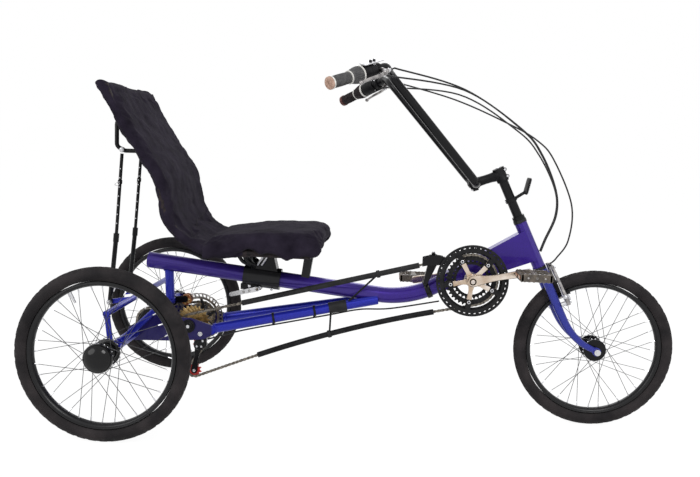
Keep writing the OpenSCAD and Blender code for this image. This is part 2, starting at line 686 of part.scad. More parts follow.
// Shaft between the side plates, with its drive sprocket and end caps
module jackshaft() color(steel) {
    reach = plate_in + plate_t + 5;
    cross_rod(jack, -reach - 5, reach + 5, axle_r);
    both_sides() cross_rod(jack, reach + 0.6, reach + 6, 12);
    cross_rod(jack, final_y - 2, final_y + 2, final_r - root);
    cross_rod(jack, final_y - 8, final_y + 8, 16);
    cross_rod(jack, rotor_y - 9, rotor_y - 1 - gap, 24);
}

cog_step = 4.2;

// Stack of cogs, largest inboard
module cassette() color([0.78, 0.62, 0.22]) difference() {
    union() {
        for (i = [-2:5]) cross_rod(jack, chain_y + cog_gap * i - 1, chain_y + cog_gap * i + 1,
            cog_r + cog_step * i - root);
        cross_rod(jack, chain_y - 2 * cog_gap - 3, chain_y + 5 * cog_gap + 3, 16);
    }
    cross_rod(jack, -plate_in, 0, axle_r + 0.05);
}

// Brake disc with rows of holes
module brake_rotor() color(steel) difference() {
    side_plate(rotor_y, 2) difference() {
        translate(jack) circle(r = rotor_r);
        for (i = [0:5]) translate(jack) rotate(60 * i) translate([42, 0]) circle(r = 13);
        for (i = [0:17]) translate(jack) rotate(20 * i) translate([rotor_r - 8, 0]) circle(r = 3.4);
    }
    cross_rod(jack, rotor_y - 4, rotor_y + 4, axle_r + 0.05);
}

arm_in = 88;
arm_t = 14;
pedal_at = [crank_len * cos(crank_angle), crank_len * sin(crank_angle)];

// The way of the spider's leg i; the crank arm lies midway between two legs
function spider_way(i) = [cos(72 * i + 36 + crank_angle), sin(72 * i + 36 + crank_angle)];

// Side view of a crank arm that points along d
module arm_outline(d) hull() {
    translate(crank) circle(r = 17);
    translate(crank + d) circle(r = 12);
}

// Crank arms with their spindle and the right arm's five-legged spider
module crankset() color(alloy) {
    cross_rod(crank, -arm_in - arm_t + 1, arm_in + arm_t - 1, spindle_r);
    for (k = [-1, 1]) difference() {
        side_plate(-k * (arm_in + arm_t / 2), arm_t) arm_outline(k * pedal_at);
        cross_rod(crank, -arm_in - arm_t - 1, arm_in + arm_t + 1, spindle_r);
        cross_rod(crank + k * pedal_at, -arm_in - arm_t - 1, arm_in + arm_t + 1, 7 + run);
    }
    difference() {
        side_plate(spider_y, 4) for (i = [0:4]) hull() {
            translate(crank) circle(r = 15);
            translate(crank + 62 * spider_way(i)) circle(r = 8);
        }
        cross_rod(crank, spider_y - 5, spider_y + 5, spindle_r);
    }
    cross_rod(crank, -arm_in + 0.02, spider_y, 16);
}
spider_y = chain_y - ring_gap - 5;

// Three chainrings and the guard ring outside them
module chainrings() color([0.25, 0.25, 0.27]) {
    for (i = [-1, 0, 1]) side_plate(chain_y + i * ring_gap, 2) difference() {
        translate(crank) circle(r = ring_r - root - 19 * i);
        translate(crank) circle(r = 46);
    }
    side_plate(spider_y - 3.8, 3) difference() {
        translate(crank) circle(r = ring_r + 31);
        translate(crank) circle(r = 66);
    }
    for (i = [0:4]) {
        p = crank + 54 * spider_way(i);
        cross_rod(p, spider_y + 2 + gap, chain_y + ring_gap, 5);
    }
    for (i = [0:4]) {
        p = crank + 74.5 * spider_way(i);
        cross_rod(p, spider_y - 3.8, chain_y - ring_gap, 3);
    }
}

// A platform pedal on its axle; k is 1 on the right and -1 on the left
module pedal(k) color([0.30, 0.25, 0.20])
    translate([crank.x + k * pedal_at.x, -k * 158, crank.y + k * pedal_at.y]) {
    difference() {
        translate([-46, -44, -12]) cube([92, 88, 24]);
        for (x = [-38, 14]) translate([x, -37, -14]) cube([24, 74, 28]);
    }
    rotate([90 * k, 0, 0]) translate([0, 0, -68]) cylinder(h = 40, r = 7);
}
module right_pedal() pedal(1);
module left_pedal() pedal(-1);

// ---- steering ----

blade_top_y = 41;

// Fork: crown, tapering raked blades and the steerer
module fork() color(blue) steer() {
    difference() {
        union() {
            translate([0, 0, crown_s]) cylinder(h = crown_h, r = 21);
            translate([-17, -blade_top_y, crown_s + 4]) cube([34, 2 * blade_top_y, crown_h - 8]);
            both_sides() {
                path = smooth_path([[0, blade_top_y, crown_s + crown_h - 4], [0, blade_top_y, 170],
                    [4, blade_top_y + 1, 100], [22, blade_y - 1, 45], [rake, blade_y, 0]], 4);
                n = len(path);
                sweep(path, [for (i = [0:n - 1]) 13.5 - 6 * max(0, i / (n - 1) - 0.2)], 16);
                translate([rake, blade_y - 6, 0]) rotate([-90, 0, 0]) cylinder(h = 12, r = 13);
            }
        }
        translate([rake, -60, 0]) rotate([-90, 0, 0]) cylinder(h = 120, r = axle_hole_r);
    }
    translate([0, 0, crown_s + crown_h - 0.05]) cylinder(h = 1.8, r = 17);
    translate([0, 0, crown_s + crown_h - 0.1])
        cylinder(h = head_top_s + cup_h - crown_s - crown_h, r = steerer_d / 2);
}
axle_hole_r = 5.3;

// Front axle with its nuts
module front_axle() color(steel) {
    cross_rod([front_x, axle_z], -blade_y - 18, blade_y + 18, 5);
    both_sides() cross_rod([front_x, axle_z], blade_y + 9 + gap, blade_y + 16, 9.5);
}

// Riser tube between the headset and the stem
module riser() color(black) steer() {
    translate([0, 0, head_top_s + cup_h + gap]) cylinder(h = riser_len - 18, r = steerer_d / 2);
    translate([0, 0, head_top_s + cup_h + gap]) cylinder(h = 12, r = head_d / 2);
}

// Stem with its clamps round the riser and the handlebar
module stem() color(black) difference() {
    union() {
        steer() translate([0, 0, stem_s - 22]) cylinder(h = 44, r = steerer_d / 2 + 4);
        rod([steer_point(0, stem_s).x, 0, steer_point(0, stem_s).y], lift(clamp_at, 0), 14);
        cross_rod(clamp_at, -22, 22, bar_d / 2 + 6);
    }
    steer() translate([0, 0, stem_s - 30]) cylinder(h = 36, r = steerer_d / 2 + gap);
    cross_rod(clamp_at, -30, 30, bar_d / 2 + gap);
}

bar_top = clamp_at + [-bar_back, bar_rise];
grip_out = [bar_top.x - 160, bar_half_w, bar_top.y - 45];
grip_in = [bar_top.x - 72, bar_half_w - 90, bar_top.y - 6];
grip_dir = unit(grip_out - grip_in);
function on_grip(t) = grip_in + t * grip_dir;
function flip_y(p) = [p.x, -p.y, p.z];

// Handlebar: a centre section, two long risers and the swept-back grip sections
module handlebar() color(black) {
    half = round_path([lift(clamp_at, 0), lift(clamp_at, 78), lift(bar_top, 112), on_grip(-82), grip_out],
        [34, 50, 30], 6);
    n = len(half);
    sweep(concat([for (i = [n - 1:-1:1]) flip_y(half[i])], half), bar_d / 2, 16);
}

shifter_r = 22;

// Rubber grip with its end cap and the twist shifter inboard of it
module grip() color([0.2, 0.2, 0.21]) difference() {
    union() {
        rod(on_grip(2), grip_out + 3 * grip_dir, 16);
        rod(grip_out + 3 * grip_dir, grip_out + 7 * grip_dir, 17.5);
        rod(on_grip(-34), on_grip(1), shifter_r);
        rod(on_grip(0), on_grip(3), 18);
    }
    rod(on_grip(-40), grip_out + 2 * grip_dir, bar_d / 2 + gap);
}
module left_grip() grip();
module right_grip() mirror([0, 1, 0]) grip();

// The way from the grip to the lever's blade, square to the grip and mostly forward
lever_way = unit([1, 0, 0] - grip_dir.x * grip_dir);
function by_grip(t, out) = on_grip(t) + out * lever_way;
clamp_mid = -43;
barrel_end = by_grip(-70, 27);

// Brake lever: clamp round the bar, arm, cable barrel inboard and blade ahead of the grip
module lever() color(steel) {
    difference() {
        union() {
            rod(on_grip(clamp_mid - 7), on_grip(clamp_mid + 7), bar_d / 2 + 5);
            rod(on_grip(clamp_mid), by_grip(clamp_mid, 34), 8);
        }
        rod(on_grip(clamp_mid - 20), on_grip(clamp_mid + 20), bar_d / 2 + gap);
    }
    rod(barrel_end, by_grip(clamp_mid + 6, 31), 6);
    blade = [by_grip(clamp_mid + 2, 31), by_grip(-18, 43), by_grip(25, 46), by_grip(72, 52)];
    sweep(smooth_path(blade, 4), 5, 8);
}
module left_lever() lever();
module right_lever() mirror([0, 1, 0]) lever();

brake_x = 31;
brake_s = 179;
pad_s = 199;

// Rim brake ahead of the fork: two arms, their pivots, pads and the link across them
module front_brake() color(black) steer() difference() {
    union() {
        both_sides() {
            rod([brake_x, 50, brake_s - 6], [brake_x + 1, 34, 298], 8, 6);
            rod([blade_x, 50, brake_s], [brake_x + 8, 50, brake_s], 7);
            translate([brake_x - 22, 18.8, pad_s - 6]) cube([46, 9, 11]);
            rod([brake_x, 27, pad_s], [brake_x, 50, pad_s], 4);
        }
        rod([brake_x + 1, -34, 296], [brake_x + 1, 34, 296], 2);
        rod([brake_x + 1, 6, 296], [brake_x + 1, 34, 296], 4);
    }
    both_sides() sweep([[0, blade_top_y, crown_s + crown_h], [0, blade_top_y, 60]], 13.8, 16);
}
blade_x = 10;

// Reflector on its arm from the riser
reflector_s = head_top_s + 75;
module reflector() color(black) difference() {
    union() {
        steer() translate([0, 0, reflector_s - 6]) cylinder(h = 12, r = steerer_d / 2 + 3);
        rod(lift(steer_point(14, reflector_s), 0), [steer_point(14, reflector_s).x + 34, 0,
            steer_point(14, reflector_s).y + 24], 5);
        translate([steer_point(14, reflector_s).x + 30, -25, steer_point(14, reflector_s).y + 12])
            rotate([0, 12, 0]) cube([8, 50, 52]);
    }
    steer() translate([0, 0, reflector_s - 20]) cylinder(h = 60, r = steerer_d / 2 + gap);
}

cable_r = 2.5;

function steer_at(x, s, y) = lift(steer_point(x, s), y);

// Where a brake cable leaves its lever, and where a shifter cable leaves its shifter; both run inboard
barrel_way = unit(barrel_end - by_grip(clamp_mid + 6, 31));
brake_exit = barrel_end + gap * barrel_way;
shift_dir = [0.2, 0, -1];
shift_way = unit(shift_dir - (shift_dir * grip_dir) * grip_dir);
shift_exit = on_grip(-34) - gap * grip_dir + (shifter_r - 1.3) * shift_way;

// Cable from the left brake lever to the front brake
module front_brake_cable() color(black) sweep(concat([brake_exit], smooth_path([
    brake_exit + 20 * barrel_way, steer_at(-24, 880, 120), steer_at(96, 740, 70), steer_at(150, 660, 42),
    steer_at(170, 588, 26), steer_at(166, 440, 16), steer_at(116, 343, 12), steer_at(62, 306, 10),
    steer_at(brake_x + 7, 297, 8)], 5)), cable_r, 8);

// Cables to the front of the head tube: the right brake's and both shifters'
module control_cables() color(black) {
    for (c = [[flip_y(brake_exit), flip_y(brake_exit + 20 * barrel_way), -96, -6],
            [flip_y(shift_exit), flip_y(shift_exit - 30 * grip_dir), -76, 1],
            [shift_exit, shift_exit - 30 * grip_dir, 84, 8]])
        sweep(concat([c[0]], smooth_path([c[1], steer_at(-12, 890, c[2]), steer_at(104, 715, c[2] / 2),
            steer_at(134, 619, c[2] / 5 + c[3]), steer_at(135, 503, c[3]), steer_at(107, 431, c[3]),
            steer_at(48, 373, c[3]), steer_at(head_d / 2 + cable_r + gap, 346, c[3])], 5)), cable_r, 8);
}

// Gear cable along the underside of the right stay, with its clips
module rear_cable() color(black) difference() {
    union() {
        sweep(smooth_path([lift(hanger + [14, -14], -plate_in + 14), stay_at(rear_x + 330) - [0, 0, 22],
            stay_at(rear_x + 480) - [0, 0, 21.4], stay_at(rear_x + 600) - [0, 0, 21.4],
            stay_at(rear_x + 690) - [0, 0, 21.4], [bend.x + 40, -8, bend.y - 42],
            [crank.x - 90, -14, bend.y - 10]], 5), cable_r, 8);
        for (x = [rear_x + 420, rear_x + 545]) rod(stay_at(x), stay_at(x + 8), stay_d / 2 + 5);
    }
    rod(stay_at(rear_x + 300), stay_at(rear_x + 720), stay_d / 2 + gap);
}

// ---- wheels ----

// Wheel frame: local Z along the axle, towards the left
module at_wheel(x, y) translate([x, y, axle_z]) rotate([-90, 0, 0]) children();

module tyre() color([0.10, 0.09, 0.09]) rotate_extrude($fn = 96) difference() {
    translate([tyre_r - tyre_w / 2, 0]) circle(r = tyre_w / 2);
    translate([0, -tyre_w]) square([rim_out_r, 2 * tyre_w]);
}

module rim() color(black) rotate_extrude($fn = 96) polygon([
    [rim_in_r, -5], [rim_in_r + 6, -rim_w / 2], [rim_out_r - gap, -rim_w / 2],
    [rim_out_r - gap, rim_w / 2], [rim_in_r + 6, rim_w / 2], [rim_in_r, 5]]);

// Crossed spokes from both flanges of a hub to the rim
module spokes(flange_r) color(steel) for (i = [0:spoke_count - 1]) {
    side = i % 2 == 0 ? 1 : -1;
    lead = floor(i / 2) % 2 == 0 ? spoke_lead : -spoke_lead;
    a = 360 * i / spoke_count;
    r0 = flange_r + 1.6;
    rod([r0 * cos(a - lead), r0 * sin(a - lead), side * flange_half],
        [(rim_in_r - 0.4) * cos(a), (rim_in_r - 0.4) * sin(a), side * 2.5], spoke_d / 2, $fn = 8);
}

// A hub's barrel and flanges
module hub_shell(barrel_r, flange_r) {
    cylinder(h = 2 * flange_half, r = barrel_r, center = true);
    for (z = [-1, 1]) translate([0, 0, z * flange_half])
        cylinder(h = flange_t, r = flange_r, center = true);
}

dome_r = rear_flange_r + 3;
dome_ball = (dome_r * dome_r + dome_depth * dome_depth) / (2 * dome_depth);

// A rear hub with its outboard dome; local Z runs outboard, and the axle reaches inboard by the
// given length
module rear_hub(axle_len) {
    color(black) {
        hub_shell(20, rear_flange_r);
        translate([0, 0, flange_half + flange_t / 2 - 0.05]) cylinder(h = 5, r = dome_r);
        intersection() {
            translate([0, 0, flange_half + 6 + dome_depth - dome_ball]) sphere(r = dome_ball);
            translate([0, 0, flange_half + 6]) cylinder(h = dome_depth + 2, r = dome_r);
        }
        translate([0, 0, flange_half + 4]) cylinder(h = 3, r = dome_r - 1);
        translate([0, 0, -half_track + housing_end + 5.5])
            cylinder(h = half_track - housing_end - 5.5, r = 13);
    }
    color(steel) translate([0, 0, -axle_len]) cylinder(h = axle_len, r = axle_r);
}

module front_tyre() at_wheel(front_x, 0) tyre();
module front_rim() at_wheel(front_x, 0) rim();
module front_spokes() at_wheel(front_x, 0) spokes(front_flange_r);
module front_hub() color(black) at_wheel(front_x, 0) difference() {
    hub_shell(16, front_flange_r);
    cylinder(h = 200, r = 5 + run, center = true);
}
module right_tyre() at_wheel(rear_x, -half_track) tyre();
module right_rim() at_wheel(rear_x, -half_track) rim();
module right_spokes() at_wheel(rear_x, -half_track) spokes(rear_flange_r);
module right_hub() at_wheel(rear_x, -half_track) mirror([0, 0, 1]) rear_hub(half_track - 60);
module left_tyre() at_wheel(rear_x, half_track) tyre();
module left_rim() at_wheel(rear_x, half_track) rim();
module left_spokes() at_wheel(rear_x, half_track) spokes(rear_flange_r);

// Left hub with the live axle and the sprocket that the final chain turns
module left_hub() {
    at_wheel(rear_x, half_track) rear_hub(half_track + 20);
    color(steel) {
        cross_rod([rear_x, axle_z], final_y - 2, final_y + 2, final_r - root);
        cross_rod([rear_x, axle_z], final_y - 8, final_y + 8, 15);
    }
}

main_tube();
boom();
rear_stays();
rear_post();
axle_frame();
headset();
bottom_bracket();
seat_clamp();
clamp_lever();
seat_front_post();
seat_rails();
seat_cross_tubes();
seat_bracket();
seat_struts();
seat_cushion();
seat_sling();
rear_derailleur();
jockey_wheels();
front_derailleur();
brake_caliper();
chain();
chain_tubes();
tube_hangers();
final_chain();
jackshaft();
cassette();
brake_rotor();
crankset();
chainrings();
right_pedal();
left_pedal();
fork();
riser();
stem();
handlebar();
right_grip();
left_grip();
right_lever();
left_lever();
front_brake();
reflector();
front_brake_cable();
control_cables();
front_axle();
rear_cable();
front_tyre();
front_rim();
front_spokes();
front_hub();
right_tyre();
right_rim();
right_spokes();
right_hub();
left_tyre();
left_rim();
left_spokes();
left_hub();
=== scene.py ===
# The looks of a delta recumbent trike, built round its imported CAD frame.
import bpy, bmesh, json, math
from mathutils import Matrix, Vector, noise

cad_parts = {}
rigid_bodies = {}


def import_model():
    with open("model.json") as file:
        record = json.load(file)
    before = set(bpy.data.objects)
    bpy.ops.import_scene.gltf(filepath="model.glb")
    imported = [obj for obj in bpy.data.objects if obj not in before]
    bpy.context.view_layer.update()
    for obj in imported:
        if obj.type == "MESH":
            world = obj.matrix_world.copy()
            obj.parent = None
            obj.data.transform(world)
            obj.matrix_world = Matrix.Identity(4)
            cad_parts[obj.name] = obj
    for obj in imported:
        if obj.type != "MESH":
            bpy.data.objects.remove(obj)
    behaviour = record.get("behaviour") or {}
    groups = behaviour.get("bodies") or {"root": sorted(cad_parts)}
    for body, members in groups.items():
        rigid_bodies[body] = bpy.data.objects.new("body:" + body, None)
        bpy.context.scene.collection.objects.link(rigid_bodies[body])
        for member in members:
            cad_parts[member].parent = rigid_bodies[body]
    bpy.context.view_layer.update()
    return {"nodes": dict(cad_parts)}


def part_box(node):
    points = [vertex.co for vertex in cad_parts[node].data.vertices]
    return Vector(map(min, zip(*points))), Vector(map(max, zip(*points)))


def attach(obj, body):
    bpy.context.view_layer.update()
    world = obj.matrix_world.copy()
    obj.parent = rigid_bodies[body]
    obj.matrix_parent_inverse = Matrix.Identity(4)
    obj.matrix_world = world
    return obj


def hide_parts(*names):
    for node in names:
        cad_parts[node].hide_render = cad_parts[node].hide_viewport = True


for old in list(bpy.data.objects):
    bpy.data.objects.remove(old)
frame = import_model()
nodes = frame["nodes"]
MM = 0.001
ACROSS = Vector((0, 1, 0))


# ---------------------------------------------------------------- materials
def new_material(name, color, rough=0.5, metal=0.0, coat=0.0, coat_rough=0.05, sheen=0.0,
                 specular=0.5):
    """A Principled material with even values; the functions below add what varies over a surface."""
    m = bpy.data.materials.new(name)
    m.use_nodes = True
    b = m.node_tree.nodes["Principled BSDF"]
    b.inputs["Base Color"].default_value = (*color, 1)
    b.inputs["Roughness"].default_value = rough
    b.inputs["Metallic"].default_value = metal
    b.inputs["Coat Weight"].default_value = coat
    b.inputs["Coat Roughness"].default_value = coat_rough
    b.inputs["Sheen Weight"].default_value = sheen
    b.inputs["Specular IOR Level"].default_value = specular
    m.diffuse_color = (*color, 1)
    return m


def node(m, kind, **values):
    """A shader node with some of its inputs set by name."""
    n = m.node_tree.nodes.new(kind)
    for key, value in values.items():
        key = key.replace("_", " ")
        if key in n.inputs:
            n.inputs[key].default_value = value
        else:
            setattr(n, key.replace(" ", "_"), value)
    return n


def link(m, a, b):
    """Joins an output socket to an input socket."""
    m.node_tree.links.new(a, b)


def object_coords(m, stretch=(1, 1, 1)):
    """The object's own coordinates, in metres, scaled along each axis."""
    place = node(m, "ShaderNodeMapping")
    place.inputs["Scale"].default_value = stretch
    link(m, node(m, "ShaderNodeTexCoord").outputs["Object"], place.inputs["Vector"])
    return place.outputs["Vector"]


def vary_color(m, dark, light, scale, detail=4, low=0.35, high=0.65, stretch=(1, 1, 1)):
    """Mottles the base colour between two colours."""
    n = node(m, "ShaderNodeTexNoise", Scale=scale, Detail=detail)
    ramp = node(m, "ShaderNodeValToRGB")
    for stop, place, color in zip(ramp.color_ramp.elements, (low, high), (dark, light)):
        stop.position, stop.color = place, (*color, 1)
    link(m, object_coords(m, stretch), n.inputs["Vector"])
    link(m, n.outputs["Fac"], ramp.inputs["Fac"])
    link(m, ramp.outputs["Color"], m.node_tree.nodes["Principled BSDF"].inputs["Base Color"])


def vary_rough(m, low, high, scale):
    """Varies the roughness between two values, as handling and dust do."""
    n = node(m, "ShaderNodeTexNoise", Scale=scale, Detail=5)
    span = node(m, "ShaderNodeMapRange")
    span.inputs["To Min"].default_value, span.inputs["To Max"].default_value = low, high
    link(m, object_coords(m), n.inputs["Vector"])
    link(m, n.outputs["Fac"], span.inputs["Value"])
    link(m, span.outputs["Result"], m.node_tree.nodes["Principled BSDF"].inputs["Roughness"])


def bump(m, height, strength, distance):
    """Adds a bump from a node's height output, on top of any bump that is there."""
    b = node(m, "ShaderNodeBump", Strength=strength, Distance=distance)
    link(m, height, b.inputs["Height"])
    into = m.node_tree.nodes["Principled BSDF"].inputs["Normal"]
    if into.links:
        link(m, into.links[0].from_socket, b.inputs["Normal"])
    link(m, b.outputs["Normal"], into)


def bump_noise(m, scale, strength, distance, detail=4, stretch=(1, 1, 1)):
    n = node(m, "ShaderNodeTexNoise", Scale=scale, Detail=detail)
    link(m, object_coords(m, stretch), n.inputs["Vector"])
    bump(m, n.outputs["Fac"], strength, distance)


def bump_waves(m, scale, strength, distance, direction="X"):
    n = node(m, "ShaderNodeTexWave", Scale=scale, bands_direction=direction)
    link(m, object_coords(m), n.inputs["Vector"])
    bump(m, n.outputs["Fac"], strength, distance)


def worn_and_highlit_edges(m, color, amount=0.5):
    """Lightens convex edges: partly wear from handling on paint and plastic, partly a painted highlight along the
    edges.
    """
    geo = node(m, "ShaderNodeNewGeometry")
    ramp = node(m, "ShaderNodeValToRGB")
    ramp.color_ramp.elements[0].position, ramp.color_ramp.elements[1].position = 0.60, 0.74
    mix = node(m, "ShaderNodeMix", data_type="RGBA")
    scale = node(m, "ShaderNodeMath", operation="MULTIPLY")
    scale.inputs[1].default_value = amount
    base = m.node_tree.nodes["Principled BSDF"].inputs["Base Color"]
    link(m, geo.outputs["Pointiness"], ramp.inputs["Fac"])
    link(m, ramp.outputs["Color"], scale.inputs[0])
    link(m, scale.outputs[0], mix.inputs["Factor"])
    if base.links:
        link(m, base.links[0].from_socket, mix.inputs[6])
    else:
        mix.inputs[6].default_value = base.default_value
    mix.inputs[7].default_value = (*color, 1)
    link(m, mix.outputs[2], base)


def paint(name, dark, light):
    """Metallic paint under clear lacquer, with fine flakes and faint orange peel."""
    m = new_material(name, dark, rough=0.30, metal=0.35, coat=0.3, coat_rough=0.06, specular=0.12)
    vary_color(m, dark, light, 900, detail=2, low=0.4, high=0.75)
    bump_noise(m, 260, 0.04, 0.0004)
    # Pale violet on convex edges: partly edge wear, partly a painted highlight.
    worn_and_highlit_edges(m, (0.30, 0.28, 0.62), 0.25)
    return m


def painted_shade_behind(m, x, color):
    """Painted shade: turns the paint towards a darker colour behind the given x, in metres, where the stays' plates
    are.
    """
    shader = m.node_tree.nodes["Principled BSDF"]
    old = shader.inputs["Base Color"].links[0].from_socket
    split = node(m, "ShaderNodeSeparateXYZ")
    ramp = node(m, "ShaderNodeMapRange")
    ramp.inputs["From Min"].default_value, ramp.inputs["From Max"].default_value = x - 0.004, x + 0.004
    mix = node(m, "ShaderNodeMix", data_type="RGBA")
    link(m, node(m, "ShaderNodeTexCoord").outputs["Object"], split.inputs["Vector"])
    link(m, split.outputs["X"], ramp.inputs["Value"])
    link(m, ramp.outputs["Result"], mix.inputs["Factor"])
    mix.inputs[6].default_value = (*color, 1)
    link(m, old, mix.inputs[7])
    link(m, mix.outputs[2], shader.inputs["Base Color"])


def build_materials():
    """All finishes, by the short names that the pieces use."""
    made = {"blue": paint("violet_blue_paint", (0.026, 0.010, 0.155), (0.050, 0.020, 0.30)),
            "fork_blue": paint("fork_blue_paint", (0.020, 0.024, 0.20), (0.040, 0.055, 0.38)),
            # The cobalt copies of the frame paint below are painted highlight: lighter, bluer paint on the rear post,
            # axle frame, stays and rear welds.
            "rear_blue_painted_highlight": paint("frame_paint_painted_highlight", (0.012, 0.014, 0.24), (0.020, 0.036, 0.50)),
            "stay_blue_painted_highlight_and_shade": paint("stay_paint_painted_highlight_and_shade", (0.012, 0.014, 0.24), (0.020, 0.036, 0.50))}
    # Painted shade: the stay plates behind x = -0.470 m turn a dark violet.
    painted_shade_behind(made["stay_blue_painted_highlight_and_shade"], -0.470, (0.014, 0.010, 0.085))

    m = made["gloss"] = new_material("gloss_black_shell", (0.0035, 0.0035, 0.004), 0.16, coat=0.3,
                                     coat_rough=0.06, specular=0.1)
    vary_rough(m, 0.12, 0.24, 30)
    bump_noise(m, 200, 0.03, 0.0003)

    # On the far grip this darker rubber is painted shade beside the near grip's rubber; on the seat rails it is a
    # plain matte black.
    m = made["far_grip"] = new_material("matte_black_and_far_grip_shade", (0.012, 0.011, 0.012), 0.6, specular=0.12)
    vary_color(m, (0.008, 0.007, 0.008), (0.030, 0.022, 0.023), 90)
    bump_noise(m, 500, 0.25, 0.0006)

    m = made["black"] = new_material("black_gloss_paint", (0.005, 0.005, 0.006), 0.24, coat=0.12, specular=0.12)
    vary_rough(m, 0.16, 0.34, 60)
    bump_noise(m, 300, 0.05, 0.0003)
    worn_and_highlit_edges(m, (0.16, 0.16, 0.17), 0.35)

    m = made["plastic"] = new_material("black_plastic", (0.007, 0.007, 0.008), 0.48, specular=0.12)
    vary_color(m, (0.005, 0.005, 0.006), (0.013, 0.013, 0.014), 45)
    bump_noise(m, 900, 0.12, 0.0003)
    worn_and_highlit_edges(m, (0.10, 0.10, 0.10), 0.4)

    m = made["rim"] = new_material("black_anodised_rim", (0.008, 0.008, 0.009), 0.34, specular=0.25)
    vary_rough(m, 0.22, 0.42, 90)
    worn_and_highlit_edges(m, (0.2, 0.2, 0.21), 0.3)

    m = made["tyre"] = new_material("tyre_rubber", (0.014, 0.012, 0.012), 0.68, specular=0.2)
    vary_color(m, (0.007, 0.006, 0.007), (0.024, 0.020, 0.021), 14, detail=8)
    vary_rough(m, 0.60, 0.88, 40)
    bump_noise(m, 700, 0.25, 0.0004, detail=6)

    m = made["steel"] = new_material("bright_steel", (0.62, 0.62, 0.64), 0.26, metal=1.0)
    vary_rough(m, 0.18, 0.38, 120)

    # The crank alloy's warm gold tint and broad light and dark mottle are a painted warm reflection.
    m = made["alloy"] = new_material("polished_alloy_painted_warm_reflection", (0.60, 0.50, 0.40), 0.2, metal=1.0)
    vary_color(m, (0.48, 0.36, 0.26), (0.76, 0.68, 0.60), 22)
    vary_rough(m, 0.16, 0.34, 70)
    bump_noise(m, 500, 0.04, 0.0003, stretch=(1, 1, 8))

    m = made["dark_alloy"] = new_material("grey_alloy", (0.34, 0.33, 0.33), 0.3, metal=1.0)
    vary_color(m, (0.20, 0.19, 0.19), (0.46, 0.44, 0.43), 60)
    vary_rough(m, 0.2, 0.4, 90)

    # The spokes' steel is near black: painted shade, a darkened copy of the bright steel of the nipples.
    m = made["spoke"] = new_material("spoke_steel", (0.05, 0.05, 0.052), 0.34, metal=0.2, specular=0.2)
    vary_color(m, (0.025, 0.025, 0.027), (0.09, 0.09, 0.092), 40)

    m = made["bronze"] = new_material("bronze_anodised", (0.34, 0.11, 0.035), 0.36, metal=0.8)
    vary_color(m, (0.22, 0.05, 0.02), (0.48, 0.20, 0.06), 90)
    worn_and_highlit_edges(m, (0.7, 0.5, 0.3), 0.4)

    m = made["chain"] = new_material("oiled_chain", (0.17, 0.155, 0.135), 0.42, metal=0.9)
    vary_color(m, (0.05, 0.045, 0.04), (0.30, 0.27, 0.23), 160)
    vary_rough(m, 0.3, 0.6, 200)

    m = made["gold"] = new_material("gold_cogs", (0.58, 0.40, 0.16), 0.34, metal=1.0)
    vary_color(m, (0.36, 0.24, 0.10), (0.72, 0.54, 0.26), 70)
    vary_rough(m, 0.25, 0.5, 100)

    m = made["grip"] = new_material("grip_rubber", (0.045, 0.045, 0.047), 0.66)
    vary_color(m, (0.032, 0.032, 0.034), (0.075, 0.074, 0.074), 80)
    bump_noise(m, 900, 0.3, 0.0004)

    m = made["white"] = new_material("white_plastic", (0.62, 0.61, 0.58), 0.42)
    vary_color(m, (0.50, 0.49, 0.46), (0.72, 0.71, 0.68), 60)
    bump_noise(m, 700, 0.1, 0.0003)

    m = made["tan"] = new_material("tan_end_cap", (0.40, 0.25, 0.19), 0.55)
    vary_color(m, (0.30, 0.18, 0.13), (0.48, 0.32, 0.25), 120)
    bump_noise(m, 600, 0.15, 0.0003)

    m = made["red_cap"] = new_material("dark_red_end_cap", (0.10, 0.025, 0.02), 0.5)
    vary_color(m, (0.06, 0.015, 0.012), (0.15, 0.04, 0.03), 120)

    m = made["pedal"] = new_material("pedal_resin", (0.055, 0.045, 0.036), 0.55)
    vary_color(m, (0.035, 0.029, 0.024), (0.115, 0.092, 0.070), 50)
    bump_noise(m, 600, 0.2, 0.0004)
    worn_and_highlit_edges(m, (0.26, 0.22, 0.18), 0.5)

    m = made["cable"] = new_material("cable_housing", (0.007, 0.007, 0.008), 0.36, specular=0.3)
    vary_rough(m, 0.28, 0.48, 90)

    m = made["red"] = new_material("red_anodised", (0.42, 0.02, 0.018), 0.34, metal=0.6, coat=0.3)
    vary_color(m, (0.30, 0.012, 0.010), (0.55, 0.035, 0.028), 80)

    made["amber"] = new_material("reflector_amber", (0.40, 0.10, 0.01), 0.16, coat=1.0)
    made["clear"] = new_material("reflector_white", (0.55, 0.56, 0.58), 0.14, coat=1.0)
    for lens in ("amber", "clear"):
        bump_waves(made[lens], 420, 0.5, 0.0008, "Y")
        bump_waves(made[lens], 420, 0.5, 0.0008, "Z")

    made["fabric"] = build_fabric()
    return made


def build_fabric():
    """Dusty black woven cover: warp and weft as two sets of fine ribs, faint fade and lint."""
    m = new_material("seat_fabric", (0.011, 0.008, 0.015), 0.95, sheen=0.03, specular=0.03)
    m.node_tree.nodes["Principled BSDF"].inputs["Sheen Roughness"].default_value = 0.5
    vary_color(m, (0.009, 0.0070, 0.0125), (0.024, 0.0195, 0.032), 22, detail=14, low=0.28, high=0.78)
    for direction in ("X", "Y", "Z"):
        bump_waves(m, 260, 0.22, 0.0005, direction)
    bump_noise(m, 420, 0.35, 0.0008, detail=6)
    bump_noise(m, 60, 0.35, 0.004, detail=3)
    return m


MAT = build_materials()


